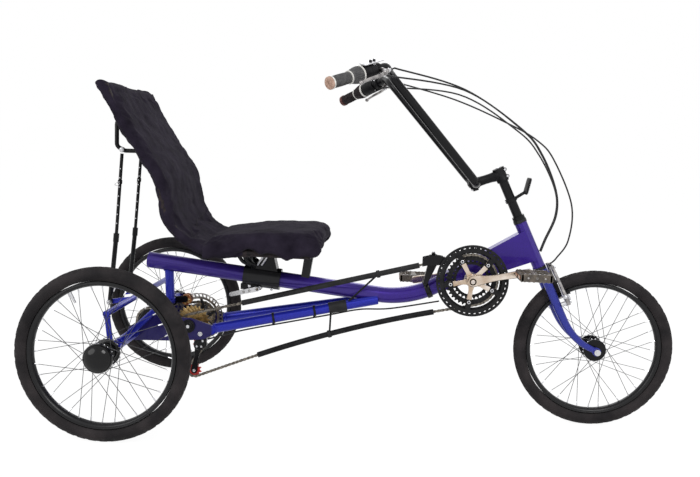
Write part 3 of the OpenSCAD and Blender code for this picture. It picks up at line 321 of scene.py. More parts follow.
# ---------------------------------------------------------------- meshes
class Shape:
    """Gathers faces in millimetres, each with a material number, and turns them into one piece."""

    def __init__(self):
        self.verts, self.faces, self.marks = [], [], []

    def add(self, verts, faces, mark=0, place=None):
        start = len(self.verts)
        self.verts += [place @ Vector(v) if place else Vector(v) for v in verts]
        self.faces += [[start + i for i in f] for f in faces]
        self.marks += [mark] * len(faces)
        return self

    def piece(self, name, body, *mats, angle=38, replaces=(), levels=0):
        mesh = bpy.data.meshes.new(name)
        mesh.from_pydata([v * MM for v in self.verts], [], self.faces)
        for mat in mats:
            mesh.materials.append(MAT[mat])
        mesh.polygons.foreach_set("material_index", self.marks)
        work = bmesh.new()
        work.from_mesh(mesh)
        bmesh.ops.remove_doubles(work, verts=work.verts, dist=1e-7)
        bmesh.ops.recalc_face_normals(work, faces=work.faces)
        work.to_mesh(mesh)
        work.free()
        mesh.shade_smooth()
        mesh.set_sharp_from_angle(angle=math.radians(angle))
        made = bpy.data.objects.new(name, mesh)
        bpy.context.scene.collection.objects.link(made)
        if levels:
            smooth = made.modifiers.new("smooth", "SUBSURF")
            smooth.levels = smooth.render_levels = levels
        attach(made, body)
        if replaces:
            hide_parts(*replaces)
        return made


def polar(radius, angle):
    return Vector((radius * math.cos(angle), radius * math.sin(angle)))


def in_depth(p, y):
    """A side view's point (x, z) as a point of the model, at depth y."""
    return Vector((p[0], y, p[1]))


def grid_faces(rows, n, closed=False, caps=True):
    """Faces between rows of n points each; caps close both ends, and closed joins the last row to the first."""
    faces = [[i * n + k, i * n + (k + 1) % n, (i + 1) % rows * n + (k + 1) % n, (i + 1) % rows * n + k]
             for i in range(rows if closed else rows - 1) for k in range(n)]
    if caps and not closed:
        faces += [list(range(n)), [(rows - 1) * n + k for k in range(n)]]
    return faces


def ring_points(frame_at, radius, sides):
    centre, u, v = frame_at
    angles = [2 * math.pi * k / sides for k in range(sides)]
    return [centre + radius * (math.cos(a) * u + math.sin(a) * v) for a in angles]


def path_frames(points, closed=False):
    """A frame at each point of a path, turned as little as possible from one to the next."""
    pts = [Vector(p) for p in points]
    n = len(pts)
    frames, u = [], None
    for i, p in enumerate(pts):
        before = pts[i - 1] if i or closed else p
        after = pts[(i + 1) % n] if i < n - 1 or closed else p
        along = (after - before).normalized()
        if u is None:
            ref = ACROSS if abs(along.y) < 0.9 else Vector((1, 0, 0))
            u = along.cross(ref).normalized()
        u = (u - along * u.dot(along)).normalized()
        frames.append((p, u, along.cross(u)))
    return frames


def tube(points, radius, sides=16):
    """Verts and faces of a round tube; radius may be a list with an entry for each point."""
    frames = path_frames(points)
    radii = radius if isinstance(radius, (list, tuple)) else [radius] * len(frames)
    verts = [v for f, r in zip(frames, radii) for v in ring_points(f, r, sides)]
    return verts, grid_faces(len(frames), sides)


def lathe(profile, steps=96, closed=True):
    """Turns a profile of (radius, z) points about Z; a closed profile gives a ring."""
    n = len(profile)
    verts = [(*polar(r, 2 * math.pi * i / steps), z) for i in range(steps) for r, z in profile]
    last = n if closed else n - 1
    faces = [[i * n + k, i * n + (k + 1) % n, ((i + 1) % steps) * n + (k + 1) % n, ((i + 1) % steps) * n + k]
             for i in range(steps) for k in range(last)]
    if not closed:
        faces += [[i * n for i in range(steps)], [i * n + n - 1 for i in range(steps)]]
    return verts, faces


def rod(a, b, radius, sides=16):
    return tube([a, b], radius, sides)


def bead(centre, axis, radius, length, sides=16, edge=0.6):
    """A short cylinder with rounded edges, centred on a point."""
    c, d = Vector(centre), Vector(axis).normalized()
    stations = [(-0.5, radius - edge), (-0.5 + edge / length, radius), (0.5 - edge / length, radius),
                (0.5, radius - edge)]
    return tube([c + d * length * s for s, _ in stations], [r for _, r in stations], sides)


def slab(outline, y, thick, bevel=0.6):
    """A plate from a side view's outline of (x, z) points, centred on y, with bevelled edges."""
    mid = Vector([sum(p[i] for p in outline) / len(outline) for i in (0, 1)])

    def inset(p, by):
        d = mid - Vector(p)
        return Vector(p) + d * min(by / max(d.length, 1e-6), 0.5)

    layers = [(-thick / 2, bevel), (-thick / 2 + bevel, 0), (thick / 2 - bevel, 0), (thick / 2, bevel)]
    verts = [in_depth(inset(p, by), y + dy) for dy, by in layers for p in outline]
    return verts, grid_faces(len(layers), len(outline))


def ring_plate(centre, inner, outer, y, thick):
    """A flat ring in a side view: inner and outer are equally long lists of (x, z) about the centre."""
    rows = [(outer, -1), (outer, 1), (inner, 1), (inner, -1)]
    verts = [(centre[0] + p[0], y + s * thick / 2, centre[1] + p[1]) for row, s in rows for p in row]
    return verts, grid_faces(len(rows), len(outer), closed=True)


def circle_points(radius, n):
    return [polar(radius, 2 * math.pi * k / n) for k in range(n)]


def washer(centre, inner, outer, y, thick, n):
    """A flat round ring in a side view."""
    return ring_plate(centre, circle_points(inner, n), circle_points(outer, n), y, thick)


def unit(v):
    return Vector(v).normalized()


def corner(a, b, c, r, n):
    """An arc of radius r that rounds the corner at b."""
    u, v = unit(a - b), unit(c - b)
    half = u.angle(v) / 2
    m = b + unit(u + v) * (r / math.sin(half))
    p0, p1 = b + u * (r / math.tan(half)) - m, b + v * (r / math.tan(half)) - m
    return [m + r * unit(p0.lerp(p1, k / n)) for k in range(n + 1)]


def round_path(points, radii, n):
    """The path with each corner rounded by an arc of n steps."""
    pts = [Vector(p) for p in points]
    out = [pts[0]]
    for i, r in enumerate(radii):
        out += corner(pts[i], pts[i + 1], pts[i + 2], r, n)
    return out + [pts[-1]]


def smooth_path(points, n):
    """A Catmull-Rom curve with n steps between two points."""
    p = [Vector(q) for q in points]
    out = []
    for i in range(len(p) - 1):
        a, b, c, d = p[max(i - 1, 0)], p[i], p[i + 1], p[min(i + 2, len(p) - 1)]
        for k in range(n):
            t = k / n
            out.append(0.5 * (2 * b + (c - a) * t + (2 * a - 5 * b + 4 * c - d) * t * t
                              + (3 * b - a - 3 * c + d) * t ** 3))
    return out + [p[-1]]


def flip(p):
    """The point on the other side of the middle plane."""
    return Vector((p[0], -p[1], p[2]))


# ---------------------------------------------------------------- sizes, from the frame
def node_box(name):
    lo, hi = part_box(name)
    return Vector(lo) / MM, Vector(hi) / MM


def middle(name):
    lo, hi = node_box(name)
    return (lo + hi) / 2


FRONT, RIGHT, LEFT = middle("front_tyre"), middle("right_tyre"), middle("left_tyre")
tyre_low, tyre_high = node_box("front_tyre")
TYRE_R = (tyre_high.x - tyre_low.x) / 2
TYRE_W = tyre_high.y - tyre_low.y
rim_low, rim_high = node_box("front_rim")
RIM_R = (rim_high.x - rim_low.x) / 2
RIM_W = rim_high.y - rim_low.y
RIM_IN_R = TYRE_R - 53
REAR_X = RIGHT.x
AXLE_Z = FRONT.z
HEAD_ANGLE, RAKE = math.radians(64), 55
STEER_BASE = Vector((FRONT.x - RAKE * math.sin(HEAD_ANGLE), 0, AXLE_Z - RAKE * math.cos(HEAD_ANGLE)))
STEER_UP = Vector((-math.cos(HEAD_ANGLE), 0, math.sin(HEAD_ANGLE)))
STEER_AHEAD = Vector((math.sin(HEAD_ANGLE), 0, math.cos(HEAD_ANGLE)))


def steer_at(x, s, y=0):
    return STEER_BASE + STEER_AHEAD * x + STEER_UP * s + Vector((0, y, 0))


# ---------------------------------------------------------------- wheels
def at_axle(centre, outboard=1):
    """Wheel frame: its Z runs along the axle, towards +Y or -Y."""
    spin = Matrix.Rotation(math.radians(-90 * outboard), 4, "X")
    return Matrix.Translation(centre) @ spin


def tyre_shape(centre):
    """Tyre with a block tread: the crown's points are sunk into grooves between the blocks."""
    steps, across = 384, 30
    section_r = TYRE_W / 2 - 0.2
    ring = TYRE_R - TYRE_W / 2
    bead_angle = 138
    angles = [math.radians(-bead_angle + 2 * bead_angle * k / across) for k in range(across + 1)]
    verts = []
    for i in range(steps):
        turn = 2 * math.pi * i / steps
        for k, a in enumerate(angles):
            depth = 0.0
            if abs(a) < math.radians(62):
                row = 0 if abs(a) < math.radians(14) else 1 if abs(a) < math.radians(38) else 2
                phase = (i + (4 * row if a > 0 else 4 * row + 2)) % 8
                between = min(abs(abs(a) - math.radians(e)) for e in (14, 38, 62)) < math.radians(4.6)
                depth = 1.5 if phase < 2 or between else 0.0
            elif abs(a) < math.radians(68):
                depth = 0.5
            elif math.radians(112) < abs(a) < math.radians(118):
                depth = -0.5
            r = section_r - depth
            verts.append((*polar(ring + r * math.cos(a), turn), r * math.sin(a)))
    return Shape().add(verts, grid_faces(steps, across + 1, closed=True), place=at_axle(centre))


def rim_shape(centre):
    """Box rim with rolled flanges, brake tracks and a valve stem."""
    half = RIM_W / 2
    profile = [(RIM_IN_R, 0), (RIM_IN_R + 0.8, 5), (RIM_IN_R + 3, 9.5), (RIM_IN_R + 6, half - 1),
               (RIM_IN_R + 8, half), (RIM_R - 5, half), (RIM_R - 4, half - 0.6), (RIM_R - 3, half),
               (RIM_R - 0.8, half), (RIM_R, half - 1.5)]
    s = Shape().add(*lathe(profile + [(r, -z) for r, z in reversed(profile[1:])], 144), place=at_axle(centre))
    valve = [(RIM_IN_R + 1, 4), (RIM_IN_R - 18, 4), (RIM_IN_R - 20, 3.2), (RIM_IN_R - 30, 3.2), (RIM_IN_R - 32, 2.6)]
    ray = polar(1, math.radians(-118)).to_3d()
    s.add(*tube([ray * r for r, _ in valve], [w for _, w in valve], 12), mark=1, place=at_axle(centre))
    return s


def spokes_shape(centre, flange_r, flange_half=28, count=36):
    """Crossed spokes with elbows at the flanges and nipples at the rim."""
    s = Shape()
    for i in range(count):
        side = 1 if i % 2 == 0 else -1
        out = 1 if (i // 2) % 2 == 0 else -1
        a = 2 * math.pi * i / count
        start = Vector((*polar(flange_r + 1.6, a - math.radians(62) * out), side * (flange_half + out * 1.2)))
        end = Vector((*polar(RIM_IN_R - 0.5, a), side * 2.5))
        along = (start - end).normalized()
        s.add(*rod(start, end, 0.85, 6), place=at_axle(centre))
        s.add(*tube([end, end + along * 10, end + along * 12], [2.0, 1.9, 1.3], 6), mark=1, place=at_axle(centre))
        s.add(*bead(start, (0, 0, 1), 1.9, 3.0, 8, 0.5), mark=1, place=at_axle(centre))
    return s


def flange(radius, z, thick=4.4):
    """A hub flange's outline, with rounded edges."""
    h = thick / 2
    return [(radius - 8, z - h - 0.8), (radius - 0.6, z - h), (radius, z - h + 0.6), (radius, z + h - 0.6),
            (radius - 0.6, z + h), (radius - 8, z + h + 0.8)]


def front_hub_shape(centre):
    profile = [(5.2, -31), (11, -31), (15, -30.4)] + flange(34, -28)[1:5] + [(20, -25), (16, -20), (15, 0)]
    profile += [(16, 20), (20, 25)] + flange(34, 28)[1:5] + [(15, 30.4), (11, 31), (5.2, 31)]
    return Shape().add(*lathe(profile, 64), place=at_axle(centre))


def rear_hub_shape(centre, outboard):
    """Hub shell with a domed outboard cap; its Z runs outboard."""
    depth = node_box("left_hub")[1].y - LEFT.y
    face = 31.0
    profile = [(0, -41), (12, -41), (13, -41), (13, -31), (17, -30.6)] + flange(38, -28)[1:5] + [(26, -24)]
    profile += [(20, -16), (19, 0), (20, 16), (26, 24)] + flange(38, 28)[1:5]
    profile += [(40.4, face), (41, face + 1), (41, face + 4)]
    dome = depth - face - 4
    profile += [(41 * math.cos(t), face + 4 + dome * math.sin(t))
                for t in [math.radians(90 * k / 14) for k in range(1, 14)]] + [(0, face + 4 + dome)]
    s = Shape().add(*lathe(profile, 72, closed=False), place=at_axle(centre, outboard))
    for k in range(6):
        spot = (*polar(33, math.radians(60 * k)), face + 4 + dome * 0.6)
        s.add(*bead(spot, (0, 0, 1), 2.4, 2.4, 6, 0.4), mark=1, place=at_axle(centre, outboard))
    return s


def build_wheels():
    """Tyre, rim, spokes and hub of each wheel."""
    for label, centre, body in (("front", FRONT, "front_wheel"), ("right", RIGHT, "right_wheel"),
                                ("left", LEFT, "left_wheel")):
        tyre_shape(centre).piece(f"{label}_tyre_tread", body, "tyre", angle=30, replaces=[f"{label}_tyre"])
        rim_shape(centre).piece(f"{label}_rim_detail", body, "rim", "steel", replaces=[f"{label}_rim"])
        spokes = spokes_shape(centre, 34 if label == "front" else 38)
        spokes.piece(f"{label}_spoke_set", body, "spoke", "steel", replaces=[f"{label}_spokes"])
    front_hub_shape(FRONT).piece("front_hub_detail", "front_wheel", "black", replaces=["front_hub"])
    rear_hub_shape(RIGHT, -1).piece("right_hub_dome", "right_wheel", "gloss", "plastic")
    rear_hub_shape(LEFT, 1).piece("left_hub_dome", "left_wheel", "gloss", "plastic")


build_wheels()


# ---------------------------------------------------------------- small parts
def turned_at(origin, axis):
    """A frame whose Z runs along the axis, for a lathed shape."""
    z = Vector(axis).normalized()
    x = z.cross(ACROSS if abs(z.y) < 0.9 else Vector((1, 0, 0))).normalized()
    return Matrix.Translation(Vector(origin)) @ Matrix((x, z.cross(x), z)).transposed().to_4x4()


def hex_bolt(shape, centre, axis, radius=4.5, height=4, mark=0):
    """A socket head bolt: a rounded head with a sunk middle."""
    head = [(radius * r, height * h) for r, h in
            ((0, 0.45), (0.52, 0.45), (0.55, 0.95), (0.8, 1), (0.97, 0.88), (1, 0.7), (1, 0), (0, 0))]
    shape.add(*lathe(head, 24, closed=False), mark=mark, place=turned_at(centre, axis))


def toothed(root_r, tip_r, count, lean=0.0):
    """A sprocket's outline: four points a tooth."""
    out = []
    w = 2 * math.pi / count
    for k in range(count):
        out += [polar(root_r, w * (k + f)) for f in (0.02, 0.30)]
        out += [polar(tip_r, w * (k + f + lean)) for f in (0.56, 0.74)]
    return out


def belt_heading(a, b):
    """The heading of the straight run between two wheels."""
    d = Vector(b[0]) - Vector(a[0])
    return math.atan2(d.y, d.x) - math.asin((b[2] * b[1] - a[2] * a[1]) / d.length)


def belt_point(w, h):
    """The point of a wheel where the belt has heading h."""
    return Vector(w[0]) + w[2] * w[1] * Vector((math.sin(h), -math.cos(h)))


def belt_path(wheels, step=math.radians(3)):
    """The closed line that a chain follows round wheels of (centre, radius, turn), in a side view."""
    out, n = [], len(wheels)
    for i, w in enumerate(wheels):
        h0, h1 = belt_heading(wheels[i - 1], w), belt_heading(w, wheels[(i + 1) % n])
        span = (h1 - h0) % (2 * math.pi) if w[2] > 0 else -((h0 - h1) % (2 * math.pi))
        parts = max(1, math.ceil(abs(span) / min(step, 60 / w[1])))
        out += [belt_point(w, h0 + span * k / parts) for k in range(parts + 1)]
    return out


def even_steps(path, wanted):
    """Points a chain pitch apart along a closed path; the pitch is adjusted to fit."""
    closed = path + [path[0]]
    lengths = [(b - a).length for a, b in zip(closed, closed[1:])]
    total = sum(lengths)
    count = 2 * round(total / wanted / 2)
    out, i, run_up = [], 0, 0.0
    for k in range(count):
        want = total * k / count
        while run_up + lengths[i] < want:
            run_up += lengths[i]
            i += 1
        out.append(closed[i].lerp(closed[i + 1], (want - run_up) / lengths[i]))
    return out


PITCH = 12.7
LINK_WAIST = [(-6.2, -2.2), (-5.0, -4.0), (-2.2, -3.6), (0, -2.7), (2.2, -3.6), (5.0, -4.0), (6.2, -2.2)]
LINK_HALF = [(x * 1.42 if abs(x) > 5.5 else x * 1.35, z) for x, z in LINK_WAIST]


def chain_shape(wheels, y, skip=None):
    """Roller chain: outer and inner plates in turn, with rollers and pins."""
    pins = even_steps(belt_path(wheels), PITCH)
    s = Shape()
    for i, a in enumerate(pins):
        b = pins[(i + 1) % len(pins)]
        mid = (a + b) / 2
        if skip and skip(mid):
            continue
        along = (b - a).normalized()
        across = Vector((-along.y, along.x))
        outline = [mid + along * x + across * z for x, z in LINK_HALF + [(x, -z) for x, z in reversed(LINK_HALF)]]
        out = 3.1 if i % 2 else 2.1
        for side in (-1, 1):
            s.add(*slab(outline, y + side * out, 0.9, 0.25))
        s.add(*bead(in_depth(a, y), ACROSS, 3.6, 3.4, 10, 0.3), mark=1)
        s.add(*bead(in_depth(a, y), ACROSS, 1.7, 7.6, 8, 0.3), mark=1)
    return s


# ---------------------------------------------------------------- drive
CRANK = Vector((315, 453))
JACK = Vector((-542, 274))
CHAIN_Y, FINAL_Y, ROTOR_Y, PEDAL_Y = -66, 60, 38, 158
CRANK_TURN, CRANK_LENGTH, RING_GAP = math.radians(12), 170, 8
RING_R, COG_R, FINAL_R = 77.6, 30.4, 44.6
GUIDE, GUIDE_R = JACK + Vector((27, -62)), 18
TENSION_R = 21
TENSION = Vector((REAR_X + 182, GUIDE.y - 84))
BEND_R = 3600
RUN_MID = (TENSION + CRANK) / 2 + Vector((0, -25))
RUN_ANGLE = math.atan2(CRANK.y - RING_R - TENSION.y + TENSION_R, CRANK.x - TENSION.x)
TUBE_BEND = RUN_MID + BEND_R * Vector((math.sin(RUN_ANGLE), -math.cos(RUN_ANGLE)))
MAIN_WHEELS = [(CRANK, RING_R, 1), (JACK, COG_R, 1), (GUIDE, GUIDE_R, -1), (TENSION, TENSION_R, 1),
               (TUBE_BEND, BEND_R, -1)]
FINAL_WHEELS = [(JACK, FINAL_R, 1), (Vector((REAR_X, AXLE_Z)), FINAL_R, 1)]
TOP_H = belt_heading(MAIN_WHEELS[0], MAIN_WHEELS[1])
TOP_FRONT, TOP_REAR = belt_point(MAIN_WHEELS[0], TOP_H), belt_point(MAIN_WHEELS[1], TOP_H)
FD_CAGE = TOP_FRONT + Vector((-98, -25))


TUBE_FRONT, TUBE_REAR = Vector((35, 383)), Vector((REAR_X + 14, 459))
TUBE_FALL = math.atan2(TUBE_REAR.y - TUBE_FRONT.y, TUBE_FRONT.x - TUBE_REAR.x)
HANGER = JACK + Vector((42, -30))
BRIDGE = Vector((REAR_X + 84, JACK.y + 52))
STAY_REAR = Vector((JACK.x + 74, -79, JACK.y - 8))
STRUT_FOOT, STRUT_TOP = Vector((REAR_X - 80, 335)), Vector((REAR_X - 42, 803))


def tube_z(x):
    """Height of the main tube's middle line behind its bend."""
    return TUBE_REAR.y - (x - TUBE_REAR.x) * math.tan(TUBE_FALL)


def top_run_z(x):
    """Height of the chain's upper run."""
    return TOP_REAR.y + (x - TOP_REAR.x) * (TOP_FRONT.y - TOP_REAR.y) / (TOP_FRONT.x - TOP_REAR.x)


def low_run_z(x):
    """Height of the chain's lower run, which sags as if round a large wheel above it."""
    return TUBE_BEND.y + BEND_R * math.cos(math.asin((TUBE_BEND.x - x) / BEND_R))


def build_chains():
    """Both chains; the main one leaves out the links that are inside its tubes."""
    top_duct, low_duct = (REAR_X + 335, FD_CAGE.x - 50), (REAR_X + 388, REAR_X + 907)

    def hidden(p):
        upper = abs(p.y - top_run_z(p.x)) < 12 and top_duct[0] < p.x < top_duct[1]
        lower = low_duct[0] < p.x < low_duct[1] and abs(p.y - low_run_z(p.x)) < 12
        return upper or lower

    main = chain_shape(MAIN_WHEELS, CHAIN_Y, hidden)
    main.piece("drive_chain_links", "frame", "chain", "chain", angle=40, replaces=["chain"])
    final = chain_shape(FINAL_WHEELS, FINAL_Y)
    final.piece("final_chain_links", "frame", "chain", "chain", angle=40, replaces=["final_chain"])


def disc(shape, centre, y, thick, inner, outer, mark=0):
    """A flat ring; outer is an outline about the centre, and inner a radius."""
    ring = [polar(inner, math.atan2(p[1], p[0])) for p in outer]
    shape.add(*ring_plate(centre, ring, outer, y, thick), mark=mark)


def guard_ring(shape, y, thick, inner, outer, mark):
    """Guard ring with a row of slots, made as two rims joined by short bridges."""
    slots, per = 40, 8
    n = slots * per
    mid_in, mid_out = outer - 10.0, outer - 7.2
    for a, b in ((inner, mid_in), (mid_out, outer)):
        shape.add(*washer(CRANK, a, b, y, thick, n), mark=mark)
    for k in range(slots):
        near = [2 * math.pi * (k * per + f) / n for f in range(6)]
        outline = [CRANK + polar(mid_in, a) for a in near] + [CRANK + polar(mid_out, a) for a in reversed(near)]
        shape.add(*slab(outline, y, thick, 0.02), mark=mark)


def spider_arm(turn, reach, wide, slim, n=10):
    """Outline of one spider leg, from the hub out to its bolt."""
    d = polar(1, turn)
    side = Vector((-d.y, d.x))
    out = [CRANK + d * 8 - side * wide, CRANK + d * (reach * 0.45) - side * slim]
    for k in range(n + 1):
        a = math.radians(-100 + 200 * k / n)
        out.append(CRANK + d * (reach + 8.5 * math.cos(a)) + side * 8.5 * math.sin(a))
    return out + [CRANK + d * (reach * 0.45) + side * slim, CRANK + d * 8 + side * wide]


def crank_arm(shape, way, inner_y, sign):
    """A forged arm: round at both ends, waisted between, and thinner towards the pedal."""
    side = Vector((-way.y, way.x))
    stations = []
    for k in range(25):
        t = k / 24
        x = -17 + 199 * t
        if t < 0.12:
            half = 17 * math.sqrt(max(1 - ((0.12 - t) / 0.12) ** 2, 0.004))
        elif t > 0.93:
            half = 11.5 * math.sqrt(max(1 - ((t - 0.93) / 0.07) ** 2, 0.004))
        else:
            u = (t - 0.12) / 0.81
            half = 17 - 7.6 * min(u / 0.35, 1) ** 0.7 + 2.1 * max((u - 0.55) / 0.45, 0)
        deep = 14 - 3.5 * math.sin(math.pi * min(max((t - 0.1) / 0.85, 0), 1)) * 0.6
        stations.append((x, half, deep))
    section = [(-1, 0.15), (-0.86, 0.0), (0.86, 0.0), (1, 0.15), (1, 0.72), (0.8, 0.95), (0.45, 1.0),
               (-0.45, 1.0), (-0.8, 0.95), (-1, 0.72)]
    verts = [in_depth(CRANK + way * x + side * half * sx, sign * (inner_y + deep * sy))
             for x, half, deep in stations for sx, sy in section]
    shape.add(verts, grid_faces(len(stations), len(section)))


def build_cranks():
    """Crank arms with their spider, then the three chainrings with the guard ring."""
    spider_y = CHAIN_Y - RING_GAP - 5
    guard_y = spider_y - 3.8
    way = polar(1, CRANK_TURN)
    s = Shape()
    crank_arm(s, way, 88, -1)
    crank_arm(s, -way, 88, 1)
    s.add(*tube([(CRANK.x, -89, CRANK.y), (CRANK.x, 89, CRANK.y)], 8.4, 24), mark=1)
    for sign in (-1, 1):
        cup = [(0, 3), (5, 3), (6.5, 3.4), (7.5, 5), (9.5, 5.2), (10.5, 3.6), (10.5, 0), (0, 0)]
        s.add(*lathe(cup, 32, closed=False), mark=2, place=turned_at(in_depth(CRANK, sign * 98.4), (0, sign, 0)))
        hex_bolt(s, in_depth(CRANK, sign * 100.6), (0, sign, 0), 4.6, 2.0, mark=1)
        end = CRANK + way * CRANK_LENGTH * (-sign)
        s.add(*lathe([(0, 0.6), (5, 0.6), (6, 1), (6.6, 0), (0, 0)], 24, closed=False), mark=1,
              place=turned_at((end.x, sign * 101.2, end.y), (0, sign, 0)))
    hub = [(8.5, -10), (16, -10), (19, -7), (20, -2), (18, 2), (13, 4), (8.5, 4)]
    s.add(*lathe(hub, 40), place=turned_at((CRANK.x, spider_y, CRANK.y), ACROSS))
    for k in range(5):
        a = CRANK_TURN + math.radians(36 + 72 * k)
        s.add(*slab(spider_arm(a, 66, 11, 6.4), spider_y - 0.4, 5.6, 1.3))
    s.piece("crank_arms_and_spider", "cranks", "alloy", "steel", "plastic", angle=32, replaces=["crankset"])

    s = Shape()
    for i, teeth in ((-1, 48), (0, 38), (1, 29)):
        r = RING_R - 19.4 * i
        outer = toothed(r - 3.4, r + (2.6 if i == 0 else 3.4), teeth)
        disc(s, CRANK, CHAIN_Y + i * RING_GAP, 2.0, (83, 62, 47)[i + 1], outer, mark=1)
    guard_ring(s, guard_y, 2.8, 88, RING_R + 31, 1)
    for k in range(5):
        way = polar(1, CRANK_TURN + math.radians(36 + 72 * k))
        side = Vector((-way.y, way.x))
        for reach, y, wide in ((90, guard_y, 9), (85, CHAIN_Y - RING_GAP, 10)):
            tab = [CRANK + way * 58 - side * 8, CRANK + way * 72 - side * 7, CRANK + way * reach - side * wide,
                   CRANK + way * reach + side * wide, CRANK + way * 72 + side * 7, CRANK + way * 58 + side * 8]
            s.add(*slab(tab, y, 2.4, 0.4), mark=1)
        p, q = CRANK + 66 * way, CRANK + 54 * way
        s.add(*rod(in_depth(p, spider_y - 4), in_depth(p, CHAIN_Y - 7), 4.6), mark=2)
        hex_bolt(s, in_depth(p, spider_y - 3.4), -ACROSS, 5.2, 3.4, mark=2)
        s.add(*rod(in_depth(q, spider_y + 2.6), in_depth(q, CHAIN_Y + 9), 4.6), mark=2)
        s.add(*slab([q + r for r in circle_points(8, 12)], CHAIN_Y + 4, 2, 0.4), mark=1)
    for r_in, r_out, y in ((46.5, 51, CHAIN_Y + RING_GAP), (60, 66, CHAIN_Y)):
        s.add(*washer(CRANK, r_in, r_out, y, 2.4, 96), mark=1)
    s.piece("chainrings_and_guard", "cranks", "chain", "plastic", "steel", angle=35, replaces=["chainrings"])


def pedal_shape(sign):
    """Platform pedal with a hollow cage, ribs, pins and an axle with end cap."""
    cx, cz = CRANK + polar(CRANK_LENGTH, CRANK_TURN) * (-sign)
    y0 = sign * PEDAL_Y
    s = Shape()

    def box(x0, x1, ya, yb, z0, z1, bevel):
        outline = [Vector((cx + x, cz + z)) for x, z in
                   ((x0 + bevel, z0), (x1 - bevel, z0), (x1, z0 + bevel), (x1, z1 - bevel),
                    (x1 - bevel, z1), (x0 + bevel, z1), (x0, z1 - bevel), (x0, z0 + bevel))]
        s.add(*slab(outline, y0 + sign * (ya + yb) / 2, abs(yb - ya), 1.0))

    for x0, x1 in ((-46, -37), (37, 46)):
        box(x0, x1, -43.5, 43.5, -11.5, 11.5, 3)
    for y in (-43.5, 36.5):
        box(-44, 44, y, y + 7, -11, 11, 3)
    box(-12, 12, -43, 43, -9.5, 9.5, 5)
    for x in (-26, 25):
        box(x - 2.2, x + 2.2, -40, 40, -8, 8, 1.2)
    for y in (-15, 14):
        box(-40, 40, y - 2, y + 2, -9.5, 9.5, 1.2)
    for x in (-41.5, 41.5):
        for k in range(7):
            for z in (-12.0, 12.0):
                s.add(*bead((cx + x, y0 - 36 + 12 * k, cz + z * 0.97), (0, 0, 1), 1.7, 3.4, 8, 0.6))
    for x in (-46.4, 46.4):
        outline = [Vector((cx + x + dx, cz + dz)) for dx, dz in ((-1, -5), (1, -5), (1, 5), (-1, 5))]
        for y in (-24, 24):
            s.add(*slab(outline, y0 + y, 24, 0.5), mark=2)
    s.add(*tube([(cx, y0 - sign * d, cz) for d in (67, 52, 45, 40)], [6.9, 6.9, 9.5, 9.5], 24), mark=1)
    s.add(*bead((cx, y0 + sign * 43, cz), ACROSS, 6.5, 2.4, 24, 0.8))
    hex_bolt(s, (cx, y0 + sign * 43.6, cz), (0, sign, 0), 3.4, 0.8, mark=3)
    for y in (-40, 40):
        for x0 in (-34, -21, -8, 8, 21, 34):
            tooth = [Vector((cx + x0 + dx, cz + dz))
                     for dx, dz in ((-4.2, 9.4), (4.2, 9.4), (2.4, 12.4), (-2.4, 12.4))]
            s.add(*slab(tooth, y0 + y, 3.0, 0.4), mark=3)
            s.add(*slab([Vector((p.x, 2 * cz - p.y)) for p in tooth], y0 + y, 3.0, 0.4), mark=3)
    for x in (-24, 24):
        s.add(*bead((cx + x, y0 + sign * 43, cz), ACROSS, 3.0, 1.8, 16, 0.5), mark=3)
    return s


def build_pedals():
    for sign, label in ((-1, "right"), (1, "left")):
        pedal_shape(sign).piece(f"{label}_pedal_platform", f"{label}_pedal", "pedal", "steel", "amber",
                                "dark_alloy", angle=35, replaces=[f"{label}_pedal"])


